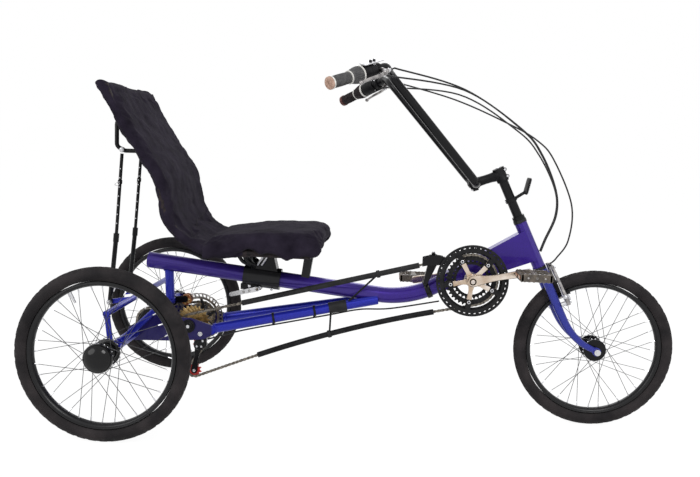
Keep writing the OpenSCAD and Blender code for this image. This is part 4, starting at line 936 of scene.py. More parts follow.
def build_rear_drive():
    """Cassette and rotor on the jackshaft, then the two pulleys."""
    s = Shape()
    for i in range(-2, 6):
        r = COG_R + 4.2 * i
        teeth = max(11, round(2 * math.pi * r / PITCH))
        outer = toothed(r - 3.4, r + 2.6 if i else r + 2.2, teeth, 0.04)
        disc(s, JACK, CHAIN_Y + 5 * i, 1.9, 12, outer)
        if i < 5:
            s.add(*lathe([(11.5, -1.4), (16, -1.4), (16.6, 0), (16, 1.4), (11.5, 1.4)], 48), mark=1,
                  place=turned_at((JACK.x, CHAIN_Y + 5 * i + 2.5, JACK.y), ACROSS))
    lock = [(9, -1.5), (15, -1.5), (15.6, -0.6), (15.6, 1), (14, 1.6), (9, 1.2)]
    s.add(*lathe(lock, 48), mark=1, place=turned_at((JACK.x, CHAIN_Y - 12.4, JACK.y), -ACROSS))
    s.piece("cassette_cogs", "jackshaft", "gold", "chain", angle=30, replaces=["cassette"])

    s = Shape()
    n = 180
    rim_out = [polar(77.6 - (1.4 if (k % 15) < 3 else 0), 2 * math.pi * k / n) for k in range(n)]
    s.add(*ring_plate(JACK, circle_points(73.6, n), rim_out, ROTOR_Y, 1.9))
    s.add(*washer(JACK, 58.5, 66.2, ROTOR_Y, 1.9, n))
    s.add(*washer(JACK, 10, 27, ROTOR_Y, 1.9, 72))
    for count, corners, edge, mark in (
            (36, ((65, -0.035), (65, 0.03), (74.5, 0.08), (74.5, 0.015)), 0.02, 0),
            (6, ((24, -0.28), (24, 0.28), (42, 0.36), (60, 0.52), (60, 0.36), (42, 0.14)), 0.1, 1)):
        for k in range(count):
            outline = [JACK + polar(r, 2 * math.pi * k / count + t) for r, t in corners]
            s.add(*slab(outline, ROTOR_Y, 1.88, edge), mark=mark)
    for k in range(6):
        hole = JACK + polar(20, 2 * math.pi * k / 6 + 0.3)
        for side in (1, -1):
            hex_bolt(s, in_depth(hole, ROTOR_Y + side * 0.9), (0, side, 0), 3.4, 2.2, mark=1)
    s.piece("rotor_disc", "jackshaft", "dark_alloy", "plastic", angle=35, replaces=["brake_rotor"])

    s = Shape()
    for p, r in ((GUIDE, GUIDE_R), (TENSION, TENSION_R)):
        disc(s, p, CHAIN_Y, 3.0, 7.5, toothed(r - 4.4, r + 1.6, round(2 * math.pi * r / PITCH)))
        s.add(*washer(p, 3, 7.6, CHAIN_Y, 6.4, 32), mark=1)
        s.add(*washer(p, 7.4, r - 6.5, CHAIN_Y, 5.0, 32))
    s.piece("pulley_wheels", "frame", "red", "steel", angle=35, replaces=["jockey_wheels"])


build_chains()
build_cranks()
build_pedals()
build_rear_drive()


# ---------------------------------------------------------------- cockpit
HEAD_S, HEAD_TOP_S, STEM_S = 304, 454, 613
STEM_RISE, STEM_LENGTH = math.radians(6), 84
CLAMP_AT = steer_at(-STEM_LENGTH * math.cos(STEM_RISE), STEM_S + STEM_LENGTH * math.sin(STEM_RISE))
BAR_TOP = CLAMP_AT + Vector((-268, 0, 302))
BAR_R = 12.7
BAR_BORE = BAR_R + 0.3
GRIP_OUT = Vector((BAR_TOP.x - 160, 325, BAR_TOP.z - 45))
GRIP_IN = Vector((BAR_TOP.x - 72, 235, BAR_TOP.z - 6))
GRIP_DIR = (GRIP_OUT - GRIP_IN).normalized()
LEVER_WAY = (Vector((1, 0, 0)) - GRIP_DIR.x * GRIP_DIR).normalized()
LEVER_UP = LEVER_WAY.cross(GRIP_DIR).normalized()
if LEVER_UP.z < 0:
    LEVER_UP = -LEVER_UP


def on_grip(t, ahead=0.0, up=0.0):
    """A point of the left grip's frame: along the grip, ahead of it and above it."""
    return GRIP_IN + GRIP_DIR * t + LEVER_WAY * ahead + LEVER_UP * up


def mirrored(shape):
    """The same shape on the other side of the middle plane."""
    other = Shape()
    other.verts = [flip(v) for v in shape.verts]
    other.faces = [list(reversed(f)) for f in shape.faces]
    other.marks = list(shape.marks)
    return other


def turned(shape, profile, start, mark=0, steps=48):
    """A lathed part on the grip's axis; the profile's z is the distance along the grip."""
    shape.add(*lathe(profile, steps, closed=True), mark=mark, place=turned_at(on_grip(start), GRIP_DIR))


def grip_shape():
    """Rubber grip with ribs and palm flats, its end cap, and the twist shifter with its two rings."""
    s = Shape()
    length = (GRIP_OUT - GRIP_IN).length
    bore = BAR_BORE
    steps, sides, verts = 90, 48, []
    place = turned_at(on_grip(0), GRIP_DIR)
    for i in range(steps + 1):
        t = 64 + (length - 62) * i / steps
        u = i / steps
        swell = 15.2 + 1.2 * math.sin(math.pi * u) + (1.2 if u > 0.965 or u < 0.02 else 0)
        for k in range(sides):
            a = 2 * math.pi * k / sides
            rib = 0.45 * (1 if (i // 2) % 2 else -1) if 0.08 < u < 0.92 and math.cos(3 * a) > -0.4 else 0
            verts.append((*polar(swell + rib, a), t))
    s.add(verts, grid_faces(steps + 1, sides), place=place)
    cap = [(bore, length - 0.5), (17.2, length - 0.5), (17.5, length + 1), (17.4, length + 4.5), (15.4, length + 6.6),
           (8, length + 7), (7, length + 6), (1, length + 6)]
    turned(s, cap, 0, mark=2)
    ring = [(bore, length - 5.5), (17.2, length - 5.5), (17.9, length - 4.6), (17.9, length - 1.6),
            (17.2, length - 0.6), (bore, length - 0.6)]
    turned(s, ring, 0, mark=7)
    shifter = [(bore, 25), (20.4, 25), (22.6, 26), (23.4, 30), (22.2, 38), (19.6, 52), (17.6, 61), (bore, 61)]
    housing = [(bore, -32), (18.5, -32), (20.8, -31), (22.2, -28), (22.4, -10), (21.0, -8.6), (21.0, -6), (22.0, -4.8),
               (22.4, 8), (21.0, 16), (21.2, 19.6), (bore, 19.6)]
    turned(s, housing, 0, mark=6)
    turned(s, shifter, 0, mark=3)
    for k in range(26):
        ridge = [place @ Vector((*polar(r, 2 * math.pi * k / 26), t))
                 for r, t in ((23, 30), (22, 38), (19.5, 51), (17.6, 59))]
        s.add(*tube(ridge, [0.9, 1.1, 1.0, 0.6], 8), mark=3)
    turned(s, [(bore, 61), (17.4, 61), (18.4, 61.8), (18.4, 64.6), (17.4, 65.4), (bore, 65.4)], 0, mark=1)
    turned(s, [(bore, 19.6), (22.4, 19.6), (23.6, 20.4), (23.9, 22.4), (23.2, 25), (bore, 25)], 0, mark=1)
    window = on_grip(-25, 6, 20.4)
    s.add(*bead(window, LEVER_UP + LEVER_WAY * 0.3, 5.2, 2.4, 20, 0.8), mark=4)
    for a in (0.6, 2.5):
        spot = place @ Vector((*polar(20, a), -31.8))
        s.add(*bead(spot, GRIP_DIR, 2.2, 1.6, 8, 0.4), mark=5)
    return s


def flat_bar(shape, a, b, up, half, thick, r=5.0):
    """A flat bar with rounded corners from a to b, its face turned to up."""
    way = (b - a).normalized()
    side = way.cross(up).normalized()
    up = side.cross(way).normalized()
    length = (b - a).length
    outline = []
    for cx, cy, start in ((length - r, half - r, 0), (r, half - r, 90), (r, r - half, 180),
                          (length - r, r - half, 270)):
        outline += [Vector((cx, cy)) + polar(r, math.radians(start + 18 * k)) for k in range(6)]
    middle_at, verts = Vector((length / 2, 0)), []
    for h, inset in ((-thick / 2, 0.7), (0.7 - thick / 2, 0), (thick / 2 - 0.7, 0), (thick / 2, 0.7)):
        for p in outline:
            q = p - (p - middle_at).normalized() * inset
            verts.append(a + way * q.x + side * q.y + up * h)
    shape.add(verts, grid_faces(4, len(outline)))


def perch_shape():
    """Bright plate over the shifter's housing, on two posts, with two small knobs."""
    s = Shape()
    flat_bar(s, on_grip(17, 1, 26), on_grip(-60, 3, 27.5), LEVER_UP, 12.5, 3.2)
    for t in (2, -26):
        s.add(*rod(on_grip(t, 1, 18), on_grip(t, 1, 26), 5.0, 16), mark=1)
    for t in (-16, -30):
        s.add(*bead(on_grip(t, 2, 29.6), LEVER_UP, 4.6, 5.4, 20, 1.4), mark=2)
    for t in (10, -52):
        s.add(*bead(on_grip(t, 2, 28.4), LEVER_UP, 2.8, 1.6, 16, 0.5), mark=1)
    return s


def lever_shape():
    """Brake lever: split clamp, forged arm, cable barrel with its adjuster, and a two-finger blade."""
    s = Shape()
    clamp = [(BAR_BORE, -50), (16.8, -50), (17.6, -49.2), (17.6, -36.8), (16.8, -36), (BAR_BORE, -36)]
    turned(s, clamp, 0, mark=1)
    ear = on_grip(-43, -16.5, -5)
    s.add(*bead(ear, LEVER_UP, 6.0, 12, 20, 1.2), mark=1)
    hex_bolt(s, on_grip(-43, -16.5, 1.4), LEVER_UP, 3.6, 3.4, mark=2)
    arm = [on_grip(-43, 12, 1), on_grip(-43, 20, 2.5), on_grip(-42, 28, 3), on_grip(-40, 35, 2)]
    s.add(*tube(smooth_path(arm, 5), [8.2] * 6 + [7.6] * 5 + [7.2] * 5, 20))
    s.add(*bead(on_grip(-40, 33.5, 0), LEVER_UP, 8.4, 13, 24, 1.6))
    hex_bolt(s, on_grip(-40, 33.5, 6.4), LEVER_UP, 4.4, 3.2, mark=2)
    hex_bolt(s, on_grip(-40, 33.5, -6.4), -LEVER_UP, 4.4, 3.2, mark=2)
    s.add(*tube([on_grip(-38, 31), on_grip(-58, 28.6)], [6.6, 6.0], 20))
    barrel = [(-58, 5.4), (-59, 6.3), (-63, 6.3), (-64, 5.2), (-65, 5.2), (-65.6, 4.3), (-70, 3.9)]
    s.add(*tube([on_grip(t, 31 - 4 * (-37 - t) / 33) for t, _ in barrel], [r for _, r in barrel], 20), mark=2)
    line = smooth_path([on_grip(-41, 31), on_grip(-30, 38, -1), on_grip(-18, 43), on_grip(4, 45.4), on_grip(25, 46),
                        on_grip(52, 49), on_grip(68, 52)], 7)
    verts, sides = [], 20
    for i, p in enumerate(line):
        t = i / (len(line) - 1)
        wide, deep = 6.4 - 2.4 * t, 4.2 - 1.0 * t
        for k in range(sides):
            a = 2 * math.pi * k / sides
            verts.append(p + LEVER_UP * math.sin(a) * wide + LEVER_WAY * math.cos(a) * deep)
    s.add(verts, grid_faces(len(line), sides))
    ball = [(0, -6.4)] + [polar(6.4, math.radians(-80 + 16 * k)) for k in range(11)]
    s.add(*lathe(ball + [(0, 6.4)], 24, closed=False), mark=0, place=turned_at(on_grip(70, 52.3), GRIP_DIR))
    return s


def build_cockpit():
    """Handlebar, grips, levers, perch plates, stem and reflector."""
    half = round_path([CLAMP_AT, CLAMP_AT + Vector((0, 78, 0)), BAR_TOP + Vector((0, 112, 0)), on_grip(-82),
                       GRIP_OUT], [34, 50, 30], 10)
    whole = [flip(p) for p in reversed(half[1:])] + half
    Shape().add(*tube(whole, BAR_R, 32)).piece("handlebar_tube", "steering", "black", replaces=["handlebar"])
    grip, lever = grip_shape(), lever_shape()
    # The far grip and its shifter ring get a darker rubber than the near ones: painted shade.
    finish = ("far_grip", "white", "red_cap", "far_grip", "clear", "steel", "plastic", "red_cap")
    grip.piece("left_grip_and_shifter", "steering", *finish, angle=32, replaces=["left_grip"])
    near = ("grip", "white", "tan", "grip", "clear", "steel", "plastic", "white")
    mirrored(grip).piece("right_grip_and_shifter", "steering", *near, angle=32, replaces=["right_grip"])
    perch = perch_shape()
    # The far perch plate gets dark alloy where the near one is bright steel: painted shade.
    perch.piece("left_perch_plate", "steering", "dark_alloy", "steel", "plastic", angle=34)
    mirrored(perch).piece("right_perch_plate", "steering", "steel", "steel", "plastic", angle=34)
    for label, made in (("left", lever), ("right", mirrored(lever))):
        made.piece(f"{label}_brake_lever", "steering", "dark_alloy", "plastic", "steel", angle=34,
                   replaces=[f"{label}_lever"])

    s = Shape()
    bore = 14.3 + 0.3
    post = steer_at(0, STEM_S)
    clamp = [(bore, -22), (17.8, -22), (18.3, -21), (18.3, -15), (17.6, -13.5), (17.6, 13.5), (18.3, 15), (18.3, 21),
             (17.8, 22), (4, 22.5), (3.5, 21), (bore, 18)]
    s.add(*lathe(clamp, 56, closed=True), place=turned_at(post, STEER_UP))
    way = (CLAMP_AT - post).normalized()
    run = (CLAMP_AT - post).length
    s.add(*tube([post + way * d for d in (8, 20, 30, run * 0.6, run - 16, run - 6)],
                [17, 15.6, 14.2, 13.8, 14.8, 17], 32))
    face = [(BAR_BORE, -22), (18.2, -22), (18.9, -21), (18.9, -17), (18.0, -15.5), (18.0, 15.5), (18.9, 17),
            (18.9, 21), (18.2, 22), (BAR_BORE, 22)]
    s.add(*lathe(face, 56), place=turned_at(CLAMP_AT, ACROSS))
    for k in range(9):
        spot = CLAMP_AT + in_depth(polar(18.1, math.radians(150 + 10 * k)), 0)
        s.add(*rod(spot - 13 * ACROSS, spot + 13 * ACROSS, 0.9, 8))
    up = way.cross(ACROSS).normalized()
    for side in (-1, 1):
        for y in (-16, 16):
            spot = CLAMP_AT + up * side * 17.6 + way * 2 + Vector((0, y, 0))
            s.add(*bead(spot, way, 5.4, 17, 16, 1.4))
            hex_bolt(s, spot + way * 8.2, way, 3.6, 3.2, mark=1)
    for d in (-11, 11):
        spot = steer_at(17.5, STEM_S + d)
        s.add(*bead(spot, ACROSS, 5.6, 18, 16, 1.4))
        hex_bolt(s, spot + Vector((0, -8.6, 0)), -ACROSS, 3.6, 3.2, mark=1)
    hex_bolt(s, steer_at(0, STEM_S + 21.6), STEER_UP, 6, 3.6, mark=1)
    s.piece("stem_with_bolts", "steering", "plastic", "steel", angle=34, replaces=["stem"])

    s = Shape()
    r_s = HEAD_TOP_S + 75
    band = [(bore, -6), (17.2, -6), (18, -5), (18, 5), (17.2, 6), (bore, 6)]
    s.add(*lathe(band, 40), place=turned_at(steer_at(0, r_s), STEER_UP))
    root = steer_at(14, r_s)
    tip = root + Vector((34, 0, 24))
    arm = [root.lerp(tip, k / 14) for k in range(15)]
    s.add(*tube(arm, [5.2 if k % 2 else 4.4 for k in range(15)], 14))
    shell_mid = root + Vector((35, 0, 38))
    tilt = Matrix.Translation(shell_mid) @ Matrix.Rotation(math.radians(12), 4, "Y")
    for mark, x0, x1, hy, hz, bevel in ((0, -4, 2.0, 25, 26, 6), (2, 1.4, 3.8, 22.5, 23.5, 5)):
        outline = []
        for sx, sz, a0 in ((1, 1, 0), (-1, 1, 90), (-1, -1, 180), (1, -1, 270)):
            outline += [Vector((sx * (hy - bevel), sz * (hz - bevel))) + polar(bevel, math.radians(a0 + 15 * k))
                        for k in range(7)]
        layers = [(x0, 0.92), (x0 + 1, 1.0), (x1 - 0.8, 1.0), (x1, 0.95)]
        verts = [(x, y * f, z * f) for x, f in layers for y, z in outline]
        s.add(verts, grid_faces(len(layers), len(outline)), mark=mark, place=tilt)
    hex_bolt(s, steer_at(-17.4, r_s) + Vector((0, -3, 0)), -ACROSS, 3.2, 3, mark=1)
    s.piece("reflector_and_arm", "steering", "plastic", "steel", "clear", angle=34, replaces=["reflector"])


BRAKE_X, BRAKE_S, PAD_S = 31, 179, 199


def build_front_brake():
    """Linear-pull rim brake: arms on their pivots, finned pads, noodle, boot and return springs."""
    s = Shape()
    for side in (-1, 1):
        def at(x, s_, y):
            return steer_at(x, s_, side * y)
        path = smooth_path([at(BRAKE_X, BRAKE_S - 8, 51), at(BRAKE_X + 1, BRAKE_S + 8, 50.5),
                            at(BRAKE_X + 2, BRAKE_S + 34, 47), at(BRAKE_X + 1.5, BRAKE_S + 70, 42),
                            at(BRAKE_X + 1, 280, 37), at(BRAKE_X + 1, 299, 33.5)], 6)
        radii = [7.4, 7.4, 7.2, 7.0, 6.8, 6.6, 6.4] + [6.0] * 6 + [5.6] * 6 + [5.2] * 6 + [5.0] * 6
        s.add(*tube(path, radii, 20))
        s.add(*tube([at(11, BRAKE_S, 50), at(24, BRAKE_S, 50), at(26, BRAKE_S, 50)], [6.6, 6.6, 8.4], 20), mark=1)
        hex_bolt(s, at(BRAKE_X + 8.4, BRAKE_S, 50), STEER_AHEAD, 5.4, 4.4, mark=1)
        s.add(*tube([at(BRAKE_X, PAD_S, 50), at(BRAKE_X, PAD_S, 27)], 3.2, 16), mark=1)
        for y, r in ((42, 6.5), (39, 7.4), (56, 6.8), (59, 5.6)):
            s.add(*bead(at(BRAKE_X, PAD_S, y), ACROSS, r, 2.6, 24, 0.7), mark=1)
        hex_bolt(s, at(BRAKE_X, PAD_S, 60), (0, side, 0), 4.2, 3.4, mark=1)
        pad = [(BRAKE_X - 21 + 44 * u, PAD_S - 0.5 + 3.2 * math.sin(math.pi * u))
               for u in [k / 12 for k in range(13)]]
        section = [(-5, -3.6), (5, -3.6), (5.4, -1), (4.6, 4.2), (-4.6, 4.2), (-5.4, -1)]
        verts = [at(x, z + a, 23.2 + b) for x, z in pad for a, b in section]
        s.add(verts, grid_faces(len(pad), len(section)), mark=2)
        hook = smooth_path([at(24, BRAKE_S - 4, 55), at(25, BRAKE_S + 30, 54), at(26, BRAKE_S + 62, 49),
                            at(27, BRAKE_S + 66, 43)], 6)
        s.add(*tube(hook, 1.1, 8), mark=1)
        hex_bolt(s, at(BRAKE_X + 7, 292, 34), STEER_AHEAD, 4.6, 3.6, mark=1)
    noodle = smooth_path([steer_at(BRAKE_X + 2, 296, 34), steer_at(BRAKE_X + 3, 296.4, 22),
                          steer_at(BRAKE_X + 4, 296.8, 12), steer_at(BRAKE_X + 6.6, 297, 8)], 6)
    s.add(*tube(noodle, 3.6, 14))
    boot = [steer_at(BRAKE_X + 1.4, 296, y) for y in (4, 0, -3, -6, -9, -12, -15, -18, -22)]
    s.add(*tube(boot, [4.2, 5.0, 4.2, 4.8, 4.0, 4.4, 3.7, 4.0, 2.4], 16), mark=2)
    s.add(*tube([steer_at(BRAKE_X + 1.2, 296, -20), steer_at(BRAKE_X + 1, 296, -36)], 1.1, 10), mark=1)
    s.piece("front_rim_brake", "steering", "dark_alloy", "steel", "plastic", angle=34, replaces=["front_brake"])


# ---------------------------------------------------------------- cables
def build_cables():
    """Brake cable, three control cables, and the gear cable with its clips."""
    barrel_end = on_grip(-70, 27)
    barrel_way = (barrel_end - on_grip(-37, 31)).normalized()
    brake_exit = barrel_end + 0.3 * barrel_way
    shift_dir = Vector((0.2, 0, -1))
    shift_way = (shift_dir - shift_dir.dot(GRIP_DIR) * GRIP_DIR).normalized()
    shift_exit = on_grip(-34) - 0.3 * GRIP_DIR + 20.7 * shift_way
    front = [brake_exit] + smooth_path([brake_exit + 20 * barrel_way, steer_at(-24, 880, 120), steer_at(96, 740, 70),
                                        steer_at(150, 660, 42), steer_at(170, 588, 26), steer_at(166, 440, 16),
                                        steer_at(116, 343, 12), steer_at(62, 306, 10), steer_at(38, 297, 8)], 10)
    add_cable("front_brake_cable_run", front, "front_brake_cable", "steering")
    ends = ((flip(brake_exit), flip(brake_exit + 20 * barrel_way), -96, -6),
            (flip(shift_exit), flip(shift_exit - 30 * GRIP_DIR), -76, 1),
            (shift_exit, shift_exit - 30 * GRIP_DIR, 84, 8))
    for k, (start, second, y, low_y) in enumerate(ends):
        line = [start] + smooth_path([second, steer_at(-12, 890, y), steer_at(104, 715, y / 2),
                                      steer_at(134, 619, y / 5 + low_y), steer_at(135, 503, low_y),
                                      steer_at(107, 431, low_y), steer_at(48, 373, low_y),
                                      steer_at(21.8, 346, low_y)], 10)
        add_cable(f"control_cable_{k + 1}", line, "control_cables", "steering")
    stay_dir = (Vector((33, -17, 369)) - STAY_REAR).normalized()

    def stay_at(x):
        return STAY_REAR + stay_dir * ((x - STAY_REAR.x) / stay_dir.x)

    route = [in_depth(HANGER + Vector((14, -14)), -73), stay_at(REAR_X + 330) - Vector((0, 0, 22))]
    route += [stay_at(REAR_X + d) - Vector((0, 0, 21.4)) for d in (480, 600, 690)]
    route += [Vector((75, -8, 341)), Vector((225, -14, 373))]
    add_cable("gear_cable_run", smooth_path(route, 10), "rear_cable", "frame")
    s = Shape()
    band = [(15.3, -3.5), (16.6, -3.5), (17.2, -2.6), (17.2, 2.6), (16.6, 3.5), (15.3, 3.5)]
    for x in (REAR_X + 424, REAR_X + 549):
        s.add(*lathe(band, 40), place=turned_at(stay_at(x), stay_dir))
        s.add(*bead(stay_at(x) - Vector((0, 0, 19)), stay_dir, 4.4, 7, 16, 1))
    s.piece("gear_cable_clips", "frame", "plastic", angle=34)


def add_cable(name, line, cad_node, body):
    """A cable: a sheathed tube along the line."""
    s = Shape().add(*tube(line, 2.5, 12))
    made = s.piece(name, body, "cable", angle=60, replaces=[cad_node])


build_cockpit()
build_front_brake()
build_cables()


# ---------------------------------------------------------------- seat
RAIL_PATH = [(-52, 985), (-14, 900), (48, 805), (96, 735), (114, 670), (130, 615), (166, 566), (222, 534), (300, 520)]


def rail_y(x):
    """The rails' distance from the middle plane, x measured from the rear axle."""
    return 200 - 24 * min(1, max(0, (x - 300) / 90))


def pad_half(x):
    """Half of the cushion's width, x measured from the rear axle."""
    return max(198, rail_y(x) + 20)


def fold_field(p, seed, size, sharp=1.6):
    """Soft ridges and valleys, as in loose cloth: 0 on a ridge's top."""
    q = Vector((p[0] / size, p[1] / size, p[2] / size))
    return abs(noise.noise(q + Vector((seed, seed * 1.7, 0)))) ** (1 / sharp)


def back_cover_mesh():
    """Sleeve of cloth over the rails: front and back panels, with folded ears at the top corners."""
    line = [Vector((REAR_X + q.x, q.z)) for q in smooth_path([(x, 0, z) for x, z in RAIL_PATH], 8)]
    line += [Vector((REAR_X + x, 520)) for x in (312, 326, 340, 352)]
    line.insert(0, line[0] + (line[0] - line[1]).normalized() * 13)
    n, verts, around = len(line), [], 72
    for i, p in enumerate(line):
        along = (line[min(i + 1, n - 1)] - line[max(i - 1, 0)]).normalized()
        ahead = Vector((-along.y, along.x))
        t = i / (n - 1)
        half = rail_y(p.x - REAR_X) + 13.0 + 2.0 * math.sin(9 * t)
        close = min(1, (i + 0.6) / 2.2, (n - i - 0.4) / 2.0)
        front, back = 17.5 * close + 1.0 * math.sin(5 * t + 1), -15.0 * close
        for k in range(around):
            a = 2 * math.pi * k / around
            c, s = math.cos(a), math.sin(a)
            y = half * math.copysign(abs(c) ** 0.30, c)
            out = (front + back) / 2 + (front - back) / 2 * math.copysign(abs(s) ** 0.36, s)
            lift = 0.0
            if i < 4:
                lift = (5 * (abs(y) / half) ** 6 - 5 * (1 - (y / half) ** 2)) * (1 - i / 4)
            if s > 0 and abs(y) < half * 0.94:
                loose = 1 - (y / (half * 0.94)) ** 4
                out += loose * (3.0 * math.sin(y / 62 + 7.5 * t + 0.6 * math.sin(11 * t)) * math.sin(math.pi * t)
                                - 2.5 + 6 * (fold_field((p.x, y * 0.8, p.y * 0.6), 3.1, 120) - 0.4))
            if i < 9 and abs(y) > half * 0.7:
                ear = (1 - i / 9) ** 1.4 * ((abs(y) / half - 0.7) / 0.3) ** 2
                out -= 22 * ear * (1 if s < 0 else 0.45)
                lift += 1.5 * ear
            q = p + ahead * out - along * lift
            verts.append((q.x, y, q.y))
    return verts, grid_faces(n, around)


def skirt_edge(x, side):
    """Height of the cover's loose lower hem; x is measured from the rear axle."""
    waves = 6 * math.sin(x / 37 + 2 * side) + 4 * math.sin(x / 13 + side)
    return 516 + waves + 9 * noise.noise(Vector((x / 26, side * 3, 0.4)))


def cushion_mesh():
    """Crowned pad in a cover whose sides hang past the rails: full at the nose, thin at the backrest."""
    rows = [(236, 549), (252, 557), (280, 562), (310, 567), (345, 573), (390, 578), (440, 581), (490, 582.5),
            (525, 582), (552, 579), (566, 574), (574, 566), (577.5, 558)]
    rows = [(p.x, p.z) for p in smooth_path([(x, 0, z) for x, z in rows], 4)]
    verts = []
    for x, top in rows:
        near = min(1.0, max(0.0, (rows[-1][0] - x) / 40))
        tuck = 1 - math.sqrt(max(0.0, 1 - (1 - near) ** 2))
        half = pad_half(x) - 34 * tuck
        low = 531 + 14 * tuck
        loop = [(y, low + 1.2 * math.sin(y / 20)) for y in (0, 40, 80, 120, 160, half - 14)]
        hem = skirt_edge(x, 1) + 26 * tuck
        loop += [(half - 11, min(low, hem + 6)), (half - 9, hem), (half - 4, hem - 2), (half - 0.5, hem + 3),
                 (half + 1.5, hem * 0.6 + low * 0.4), (half + 0.5, low + 6), (half - 1, (low + top) / 2 + 2),
                 (half - 5, top - 10), (half - 14, top - 3.5), (half - 30, top - 0.5)]
        for y in (150, 120, 90, 60, 30, 0):
            crown = 1 - (y / half) ** 2
            loop.append((min(y, half - 36), top + 5 * crown + 1.6 * crown * math.sin(x / 23 + y / 47)))
        ring = loop + [(-y, z) for y, z in reversed(loop[1:-1])]
        for y, z in ring:
            if z < low - 0.5 and y < 0:
                z += skirt_edge(x, -1) - skirt_edge(x, 1)
            verts.append((REAR_X + x, y, z))
    return verts, grid_faces(len(rows), len(ring))


def applied(made):
    """The object's mesh with its modifiers in it."""
    depsgraph = bpy.context.evaluated_depsgraph_get()
    mesh = bpy.data.meshes.new_from_object(made.evaluated_get(depsgraph), depsgraph=depsgraph)
    made.modifiers.clear()
    old, made.data = made.data, mesh
    bpy.data.meshes.remove(old)


CLOTH_STEPS = 20


def puff(name, verts, faces, voxel, cap, held, slack, pressure=4.0):
    """Remeshes a closed form and lets it settle as loose cloth under light pressure, held at some points."""
    mesh = bpy.data.meshes.new(name)
    mesh.from_pydata([Vector(v) * MM for v in verts], [], faces)
    work = bmesh.new()
    work.from_mesh(mesh)
    bmesh.ops.recalc_face_normals(work, faces=work.faces)
    work.to_mesh(mesh)
    work.free()
    made = bpy.data.objects.new(name, mesh)
    bpy.context.scene.collection.objects.link(made)
    grid = made.modifiers.new("grid", "REMESH")
    grid.mode, grid.voxel_size = "VOXEL", voxel * MM
    applied(made)
    before = [v.co.copy() for v in made.data.vertices]
    group = made.vertex_groups.new(name="held")
    for i, co in enumerate(before):
        weight = held(co / MM)
        if weight > 0:
            group.add([i], weight, "REPLACE")
    cloth = made.modifiers.new("cloth", "CLOTH")
    wanted = {"quality": 6, "mass": 0.35, "tension_stiffness": 18, "compression_stiffness": 18,
              "shear_stiffness": 8, "bending_stiffness": 0.35, "use_pressure": True,
              "uniform_pressure_force": pressure, "shrink_min": -slack, "vertex_group_mass": "held"}
    for key, value in wanted.items():
        setattr(cloth.settings, key, value)
    cloth.settings.effector_weights.gravity = 0
    cloth.collision_settings.use_collision = False
    scene = bpy.context.scene
    for step in range(1, CLOTH_STEPS + 1):
        scene.frame_set(step)
    applied(made)
    scene.frame_set(1)
    for v, old in zip(made.data.vertices, before):
        move = v.co - old
        if move.length > cap * MM:
            v.co = old + move * (cap * MM / move.length)
    return made


def crease(made, amount, seed, size, keep):
    """Adds fine creases along the cloth's surface, faded where keep says 0."""
    normals = [v.normal.copy() for v in made.data.vertices]
    for v, normal in zip(made.data.vertices, normals):
        p = v.co / MM
        ridge = fold_field((p.x, p.y * 0.45, p.z), seed, size, 1.2) - 0.35
        small = noise.noise(Vector((p.x / 21, p.y / 34, p.z / 21)) + Vector((seed, 0, 0))) * 0.35
        v.co += normal * (amount * MM * keep(p) * (ridge + small))


def finish_cloth(made, body, node_names):
    made.data.materials.clear()
    made.data.materials.append(MAT["fabric"])
    made.data.shade_smooth()
    soft = made.modifiers.new("smooth", "SUBSURF")
    soft.levels = soft.render_levels = 1
    applied(made)
    made.data.shade_smooth()
    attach(made, body)
    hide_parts(*node_names)


def sewn_line(shape, points, pitch=5.0, size=0.7):
    """Stitches: short threads laid along a line on the cloth."""
    gone = 0.0
    for a, b in zip(points, points[1:]):
        length = (b - a).length
        along = (b - a) / max(length, 1e-6)
        while gone < length:
            shape.add(*bead(a + along * gone, along, size, 3.0, 6, 0.3))
            gone += pitch
        gone -= length


def build_seat():
    """The back's sleeve and the pad, both settled as cloth."""
    verts, faces = back_cover_mesh()

    def held(p):
        edge = max(0.0, (abs(p.y) - 207) / 6)
        top = max(0.0, (p.z - 968) / 10)
        foot = max(0.0, (p.x - REAR_X - 330) / 10) if p.z < 560 else 0
        return min(1.0, edge + top + foot)

    back = puff("seat_back_cover", verts, faces, 5.5, 7, held, 0.035)
    crease(back, 5.6, 4.2, 62, lambda p: 1.0 if abs(p.y) < 190 else 0.5)
    finish_cloth(back, "frame", ["seat_sling"])
    verts, faces = cushion_mesh()
    pad = puff("seat_pad_cover", verts, faces, 4.0, 6, lambda p: 1.0 if p.z < 533 and abs(p.y) < 182 else 0.0, 0.03)
    crease(pad, 3.2, 9.7, 44, lambda p: 1.0 if p.z > 540 else 0.5)
    finish_cloth(pad, "frame", ["seat_cushion"])


def hem_stitches():
    """A row of stitches above the hem on both sides of the pad."""
    for side, label in ((-1, "right"), (1, "left")):
        threads = Shape()
        line = [Vector((REAR_X + x, side * (pad_half(x) + 2.4), skirt_edge(x, side) + 7)) for x in range(330, 536, 3)]
        sewn_line(threads, line)
        threads.piece(f"{label}_hem_stitches", "frame", "plastic", angle=60)


build_seat()
hem_stitches()


# ---------------------------------------------------------------- derailleurs, caliper and frame details
def hull_outline(discs, n=42):
    """Outline of the shape stretched round some discs (x, z, r) in a side view."""
    around = [2 * math.pi * k / n for k in range(n)]
    pts = sorted({(round(x + r * math.cos(a), 4), round(z + r * math.sin(a), 4)) for x, z, r in discs for a in around})

    def half(points):
        out = []
        for p in points:
            while len(out) > 1 and ((out[-1][0] - out[-2][0]) * (p[1] - out[-2][1])
                                    - (out[-1][1] - out[-2][1]) * (p[0] - out[-2][0])) <= 0:
                out.pop()
            out.append(p)
        return out[:-1]

    return [Vector(p) for p in half(pts) + half(list(reversed(pts)))]


